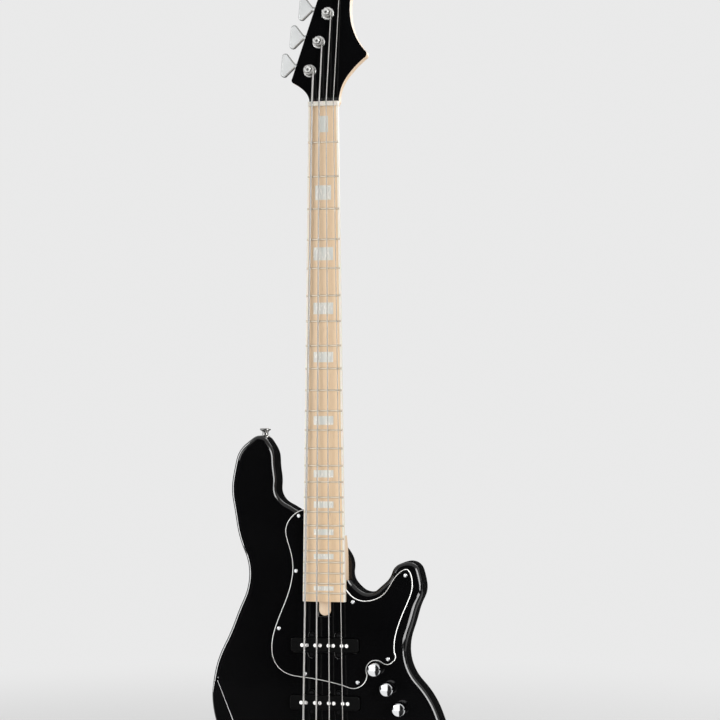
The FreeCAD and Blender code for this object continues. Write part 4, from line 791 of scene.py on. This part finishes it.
# Lines of the strings
def string_at(number, z):
    """Centre of a string on its straight run between the nut and the saddle."""
    share = (BOARD_START - z) / SCALE_LENGTH
    place = number - (len(STRING_NAMES) - 1) / 2
    x = place * between(NUT_SPACING, BRIDGE_SPACING, share)
    nut_y = NUT_STRING_BED + (place * NUT_SPACING) ** 2 / (2 * BOARD_RADIUS)
    bridge_y = NUT_STRING_BED - BRIDGE_RISE + (place * BRIDGE_SPACING) ** 2 / (2 * BOARD_RADIUS)
    return Vector((x, between(nut_y, bridge_y, share) - STRING_RADII[number], z))


def bent(before, corner, after, radius):
    """Points of an arc that rounds a corner of the string's line."""
    back = (before - corner).normalized()
    ahead = (after - corner).normalized()
    turn = math.pi - back.angle(ahead)
    reach = radius * math.tan(turn / 2)
    inward = (back + ahead).normalized()
    centre = corner + inward * (radius / math.cos(turn / 2))
    start = corner + back * reach - centre
    axis = back.cross(ahead)
    points = []
    for step in range(BEND_STEPS + 1):
        points.append(centre + Matrix.Rotation(-turn * step / BEND_STEPS, 3, axis) @ start)
    return points


def winding(number, nut):
    """Points of a string's turns round its post, from where it arrives from the nut."""
    radius = STRING_RADII[number]
    post = joint_place(f"tuner_post_{number + 1}_turn")
    wind = POST_WAIST + WIND_SEAT_GAP + radius
    pitch = 2 * radius + WIND_GAP
    away = math.hypot(nut.x - post.x, nut.z - post.z)
    first = math.atan2(nut.z - post.z, nut.x - post.x) + math.acos(wind / away)
    points = []
    for step in range(WIND_TURNS * WIND_STEPS + 1):
        share = step / WIND_STEPS
        turn = first + share * math.tau
        level = WIND_LOW - radius - pitch * share
        points.append(Vector((post.x + wind * math.cos(turn), level, post.z + wind * math.sin(turn))))
    return points


def string_line(number):
    """Points along a string from its ball, over its saddle and nut, to its last turn round the post."""
    drop = string_at(number, BOARD_START - SCALE_LENGTH - SADDLE_LENGTH)
    nut = string_at(number, 0.0)
    hole = Vector((drop.x, TAIL_HOLE_Y, TAIL_WALL_Z))
    tail = hole + (hole - drop).normalized() * (TAIL_WALL_HALF + BALL_RADIUS + BALL_GAP)
    turns = winding(number, nut)
    return [tail] + bent(tail, drop, nut, SADDLE_BEND) + bent(drop, nut, turns[0], NUT_BEND) + turns


# Studio
def set_camera():
    forward = Vector((-math.sin(CAMERA_YAW) * math.cos(CAMERA_PITCH),
                      math.cos(CAMERA_YAW) * math.cos(CAMERA_PITCH), math.sin(CAMERA_PITCH)))
    right = Vector((math.cos(CAMERA_YAW), math.sin(CAMERA_YAW), 0.0))
    up = right.cross(forward)
    rolled_right = right * math.cos(CAMERA_ROLL) + up * math.sin(CAMERA_ROLL)
    rolled_up = up * math.cos(CAMERA_ROLL) - right * math.sin(CAMERA_ROLL)
    data = bpy.data.cameras.new("camera")
    data.lens = CAMERA_LENS
    data.sensor_width = CAMERA_SENSOR
    camera = new_object("camera", data)
    turn = Matrix((rolled_right, rolled_up, -forward)).transposed().to_4x4()
    camera.matrix_world = Matrix.Translation(CAMERA_PLACE) @ turn
    bpy.context.scene.camera = camera


def softbox(name, place, aim, size, power):
    """A flat lamp that faces a point."""
    data = bpy.data.lights.new(name, "AREA")
    data.shape = "RECTANGLE"
    data.size, data.size_y = size
    data.energy = power
    lamp = new_object(name, data)
    turn = (Vector(aim) - Vector(place)).to_track_quat("-Z", "Y")
    lamp.matrix_world = Matrix.Translation(place) @ turn.to_matrix().to_4x4()
    return lamp


def light_only(lamps, finishes):
    """Lamps for the pieces in these finishes alone."""
    lit = bpy.data.collections.new(lamps[0][0] + "_pieces")
    for piece in bpy.context.scene.objects:
        if piece.type == "MESH" and any(slot.material in finishes for slot in piece.material_slots):
            lit.objects.link(piece)
    for lamp in lamps:
        softbox(*lamp).light_linking.receiver_collection = lit


def black_card(name, corners, cloth):
    """A card that only reflections see, so that the lacquer stays deep between its bright lines."""
    mesh = bpy.data.meshes.new(name)
    mesh.from_pydata(corners, [], [(0, 1, 2, 3)])
    mesh.materials.append(cloth)
    card = new_object(name, mesh)
    card.visible_camera = False
    card.visible_diffuse = False
    card.visible_shadow = False


def set_cards():
    cloth = Finish("card_cloth", Base_Color=CARD_BLACK, Roughness=1.0).material
    floor = cad_box[0].z + CARD_CLEAR
    for name, first, last, top in CARDS:
        black_card(name, [first + (floor,), last + (floor,), last + (top,), first + (top,)], cloth)
    for name, (left, front), (right, back) in FLOOR_CARDS:
        corners = [(left, front, floor), (right, front, floor), (right, back, floor), (left, back, floor)]
        black_card(name, corners, cloth)


def lay_floor():
    form = bmesh.new()
    bmesh.ops.create_circle(form, cap_ends=True, radius=FLOOR_RADIUS, segments=FLOOR_SIDES)
    mesh = mesh_of(form, "studio_floor")
    mesh.transform(Matrix.Translation((0.0, 0.0, cad_box[0].z)))
    mesh.materials.append(paper())
    new_object("studio_floor", mesh)


def light_room():
    """The room's even light, and the paper's own colour where it is seen or reflected."""
    world = bpy.data.worlds.new("studio_room")
    bpy.context.scene.world = world
    world.use_nodes = True
    tree = world.node_tree
    sky = tree.nodes["Background"]
    path = tree.nodes.new("ShaderNodeLightPath")
    seen = path.outputs[SEEN_BY[0]]
    for ray in SEEN_BY[1:]:
        either = tree.nodes.new("ShaderNodeMath")
        either.operation = "MAXIMUM"
        tree.links.new(seen, either.inputs[0])
        tree.links.new(path.outputs[ray], either.inputs[1])
        seen = either.outputs[0]
    level = tree.nodes.new("ShaderNodeMapRange")
    level.inputs["To Min"].default_value = ROOM_LIGHT
    level.inputs["To Max"].default_value = 1.0
    tree.links.new(seen, level.inputs["Value"])
    tree.links.new(level.outputs[0], sky.inputs["Strength"])
    sky.inputs["Color"].default_value = PAPER


def studio():
    set_cards()
    lay_floor()
    light_room()
    for lamp in LAMPS:
        softbox(*lamp)
    bpy.context.scene.view_settings.view_transform = "Standard"


# The instrument
def scoop_ring(form, share):
    """Points round the neck part of the way down the scoop, from a square back to a round one."""
    z = SCOOP_START - SCOOP_LENGTH * share
    half = between(*NECK_WIDTHS, (BOARD_START - z) / BOARD_LENGTH) / 2
    depth = between(*NECK_DEPTHS, (SHAFT_TOP - z) / SHAFT_LENGTH)
    radius = (half ** 2 + depth ** 2) / (2 * depth)
    centre = depth - radius
    corner = math.atan2(depth, half)
    turns = []
    for first, last in ((0.0, corner), (corner, math.pi - corner), (math.pi - corner, math.pi)):
        turns.extend(between(first, last, step / SCOOP_SPAN) for step in range(SCOOP_SPAN))
    ring = []
    for turn in turns + [math.pi]:
        across = math.cos(turn)
        back = math.sin(turn)
        on_arc = centre * back + math.sqrt(radius ** 2 - (centre * across) ** 2)
        if corner <= turn <= math.pi - corner:
            on_slab = depth / back
        else:
            on_slab = half / abs(across)
        reach = between(on_arc, on_slab, (1 - share) ** 2) + between(SCOOP_PROUD, -SCOOP_SUNK, share)
        ring.append(form.verts.new((reach * across, reach * back, z)))
    return ring


def neck_scoop(wood):
    """The carve behind the nut, where the headstock's square back runs out into the round neck."""
    form = bmesh.new()
    rings = [scoop_ring(form, step / SCOOP_STEPS) for step in range(SCOOP_STEPS + 1)]
    skin(form, rings)
    form.faces.new(rings[0])
    form.faces.new(rings[-1])
    bmesh.ops.recalc_face_normals(form, faces=form.faces)
    mesh = smooth_mesh(form, "neck_scoop")
    mesh.materials.append(wood)
    piece = new_object("neck_scoop", mesh)
    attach(piece, "instrument")


def on_guard_edge(face):
    return abs(face.normal.y) < GUARD_EDGE_TILT


def dress_wood():
    """Body, neck and board in lacquer, maple, cream and pearl, and the guard in its plies."""
    painted("body", black_lacquer("body_black", haze_rough=0.05, peel=0.012 * MM))
    painted("headstock_veneer", black_lacquer("head_black", haze_rough=0.05, peel=0.010 * MM))
    guard_top = black_lacquer("guard_black", haze_rough=0.08, peel=0.004 * MM)
    two_finishes("pickguard", guard_top, guard_plies(), on_guard_edge)
    neck_wood = maple("neck_maple", *NECK_MAPLE, gloss=0.30)
    painted("neck", neck_wood)
    neck_scoop(neck_wood)
    painted("fretboard", maple("board_maple", *BOARD_MAPLE, gloss=0.26))
    painted("fretboard_binding", ivory("binding_cream", *BINDING_CREAM))
    painted("inlay_blocks", pearl())
    dressed("nut", ivory("nut_bone", *NUT_BONE), EASE)


def wheel_test(number):
    """Tells the faces of a post's worm wheel from its others."""
    post = joint_place(f"tuner_post_{number}_turn")
    key = joint_place(f"tuner_key_{number}_turn")

    def on_wheel(face):
        across = math.hypot(face.center.x - post.x, face.center.z - post.z)
        return abs(face.center.y - key.y) < WHEEL_HALF and across > WHEEL_REACH

    return on_wheel


def button_test(number):
    """Tells the faces of a key's button from those of its shaft."""
    key = joint_place(f"tuner_key_{number}_turn")

    def on_button(face):
        return (face.center - key).length > KEY_SHAFT_REACH

    return on_button


def dress_metal(made):
    """Metal nodes in their finishes. The bridge and the tuners' plates get eased edges."""
    for name, metal_nodes in METAL_NODES.items():
        for node in metal_nodes:
            painted(node, made[name])
    for number in NUMBERS:
        two_finishes(f"tuner_post_{number}", made["bright_nickel"], made["gear_brass"], wheel_test(number))
        two_finishes(f"tuner_key_{number}", made["turned_steel"], made["satin_chrome"], button_test(number))
        dressed(f"saddle_{number}", made["bridge_nickel"], EASE)
    dressed("bridge_plate", made["bridge_nickel"], BRIDGE_EASE)
    dressed("tuner_plates", made["satin_chrome"], EASE)


def on_face(places, y):
    return [Vector((x * MM, y, z * MM)) for x, z in places]


def cover_screws():
    """Places round the control cover: beyond both ends, and beside its middle."""
    first, last = COVER_ENDS
    along = (last - first).normalized()
    beside = Vector((-along.y, along.x))
    middle = (first + last) / 2
    places = [first - along * COVER_SCREW_REACH, last + along * COVER_SCREW_REACH]
    return places + [middle - beside * COVER_SCREW_REACH, middle + beside * COVER_SCREW_REACH]


def dress_plastic():
    """Pickup covers with their coils, and the control cover with seats for its screws."""
    for name in ("neck", "bridge"):
        cast = moulded("pickup_black_" + name, PICKUP_BLACK, rough=0.40, grain=900.0, depth=0.01 * MM)
        painted("pickup_cover_" + name, cast)
        painted("pickup_coil_" + name, coil_wire())
    cover_cast = moulded("cover_black", COVER_BLACK, rough=0.48, grain=500.0, depth=0.02 * MM)
    cover = dressed("control_cover", cover_cast, COVER_EASE)
    sink_seats(cover, on_face(cover_screws(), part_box("control_cover")[1].y))


def tuner_screws():
    """Places at both ends of each tuner's plate, in line with its key."""
    places = []
    for number in NUMBERS:
        post = joint_place(f"tuner_post_{number}_turn")
        axis = Vector(joints[f"tuner_key_{number}_turn"]["axis"])
        for side in (-1, 1):
            spot = post + axis * side * TUNER_SCREW_REACH
            places.append(Vector((spot.x, PLATE_BACK, spot.z)))
    return places


def screw_places():
    """Where the screws of each kind sit."""
    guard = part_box("pickguard")[0].y
    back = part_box("control_cover")[1].y
    low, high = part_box("strap_buttons")
    strap_y = (low.y + high.y) / 2
    horn = Vector((low.x + STRAP_HEAD_RADIUS, strap_y, high.z - STRAP_SUNK))
    tail = Vector((high.x - STRAP_HEAD_RADIUS, strap_y, low.z + STRAP_SUNK))
    places = {
        "guard_screws": on_face(GUARD_SCREWS, guard),
        "bridge_screws": on_face(BRIDGE_SCREWS, BRIDGE_FLOOR),
        "cover_screws": on_face(cover_screws(), back - COVER_SCREW_SUNK),
        "bolt_slots": on_face(NECK_BOLTS, back - BOLT_SUNK),
        "tuner_screws": tuner_screws(),
        "strap_screw_horn": [horn],
        "strap_screw_tail": [tail],
    }
    for name in ("neck", "bridge"):
        low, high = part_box("pickup_poles_" + name)
        z = (low.z + high.z) / 2 / MM
        ears = [(x, z + dz) for x in (-PICKUP_EAR_X, PICKUP_EAR_X) for dz in (-PICKUP_EAR_Z, PICKUP_EAR_Z)]
        places["pickup_screws_" + name] = on_face(ears, PICKUP_EAR_TOP)
    return places


def fit_screws(made):
    """Screw heads of every kind, each kind as one piece with a seed of its own."""
    head = screw_head()
    form = screw_form(head)
    places = screw_places()
    for seed, (name, (radius, dome, facing, finish, slot)) in enumerate(SCREWS.items()):
        piece = form.make(name, point_mesh(name, places[name]), SCREW_BODIES.get(name, "instrument"),
                          Head_Radius=radius, Dome=dome, Facing=facing, Seed=seed, Material=made[finish])
    bpy.data.objects.remove(head)


def fit_strings(brass):
    """Wound strings in place of the plain ones, and the balls at their tails."""
    form = string_form()
    tails = []
    for number, node in enumerate(STRING_NAMES):
        points = string_line(number)
        tails.append(points[0])
        piece = form.make(f"{node}_wound", line_mesh(node, points), "instrument", Radius=STRING_RADII[number],
                          Material=wound_wire(number))
        piece.data.shade_smooth()
        piece.data.set_sharp_from_angle(angle=SHARP)
        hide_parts(node)
    ball = string_ball()
    balls = screw_form(ball).make("string_balls", point_mesh("string_balls", tails), "instrument",
                                  Head_Radius=BALL_RADIUS, Dome=BALL_LENGTH / BALL_RADIUS, Facing=FRONT,
                                  Material=brass)
    bpy.data.objects.remove(ball)


set_camera()
studio()
metals_made = {name: metal(name) for name in METALS}
dress_wood()
dress_metal(metals_made)
dress_plastic()
fit_screws(metals_made)
fit_strings(metals_made["gear_brass"])
light_only(LACQUER_LAMPS, lacquers)
light_only(METAL_LAMPS, metals)
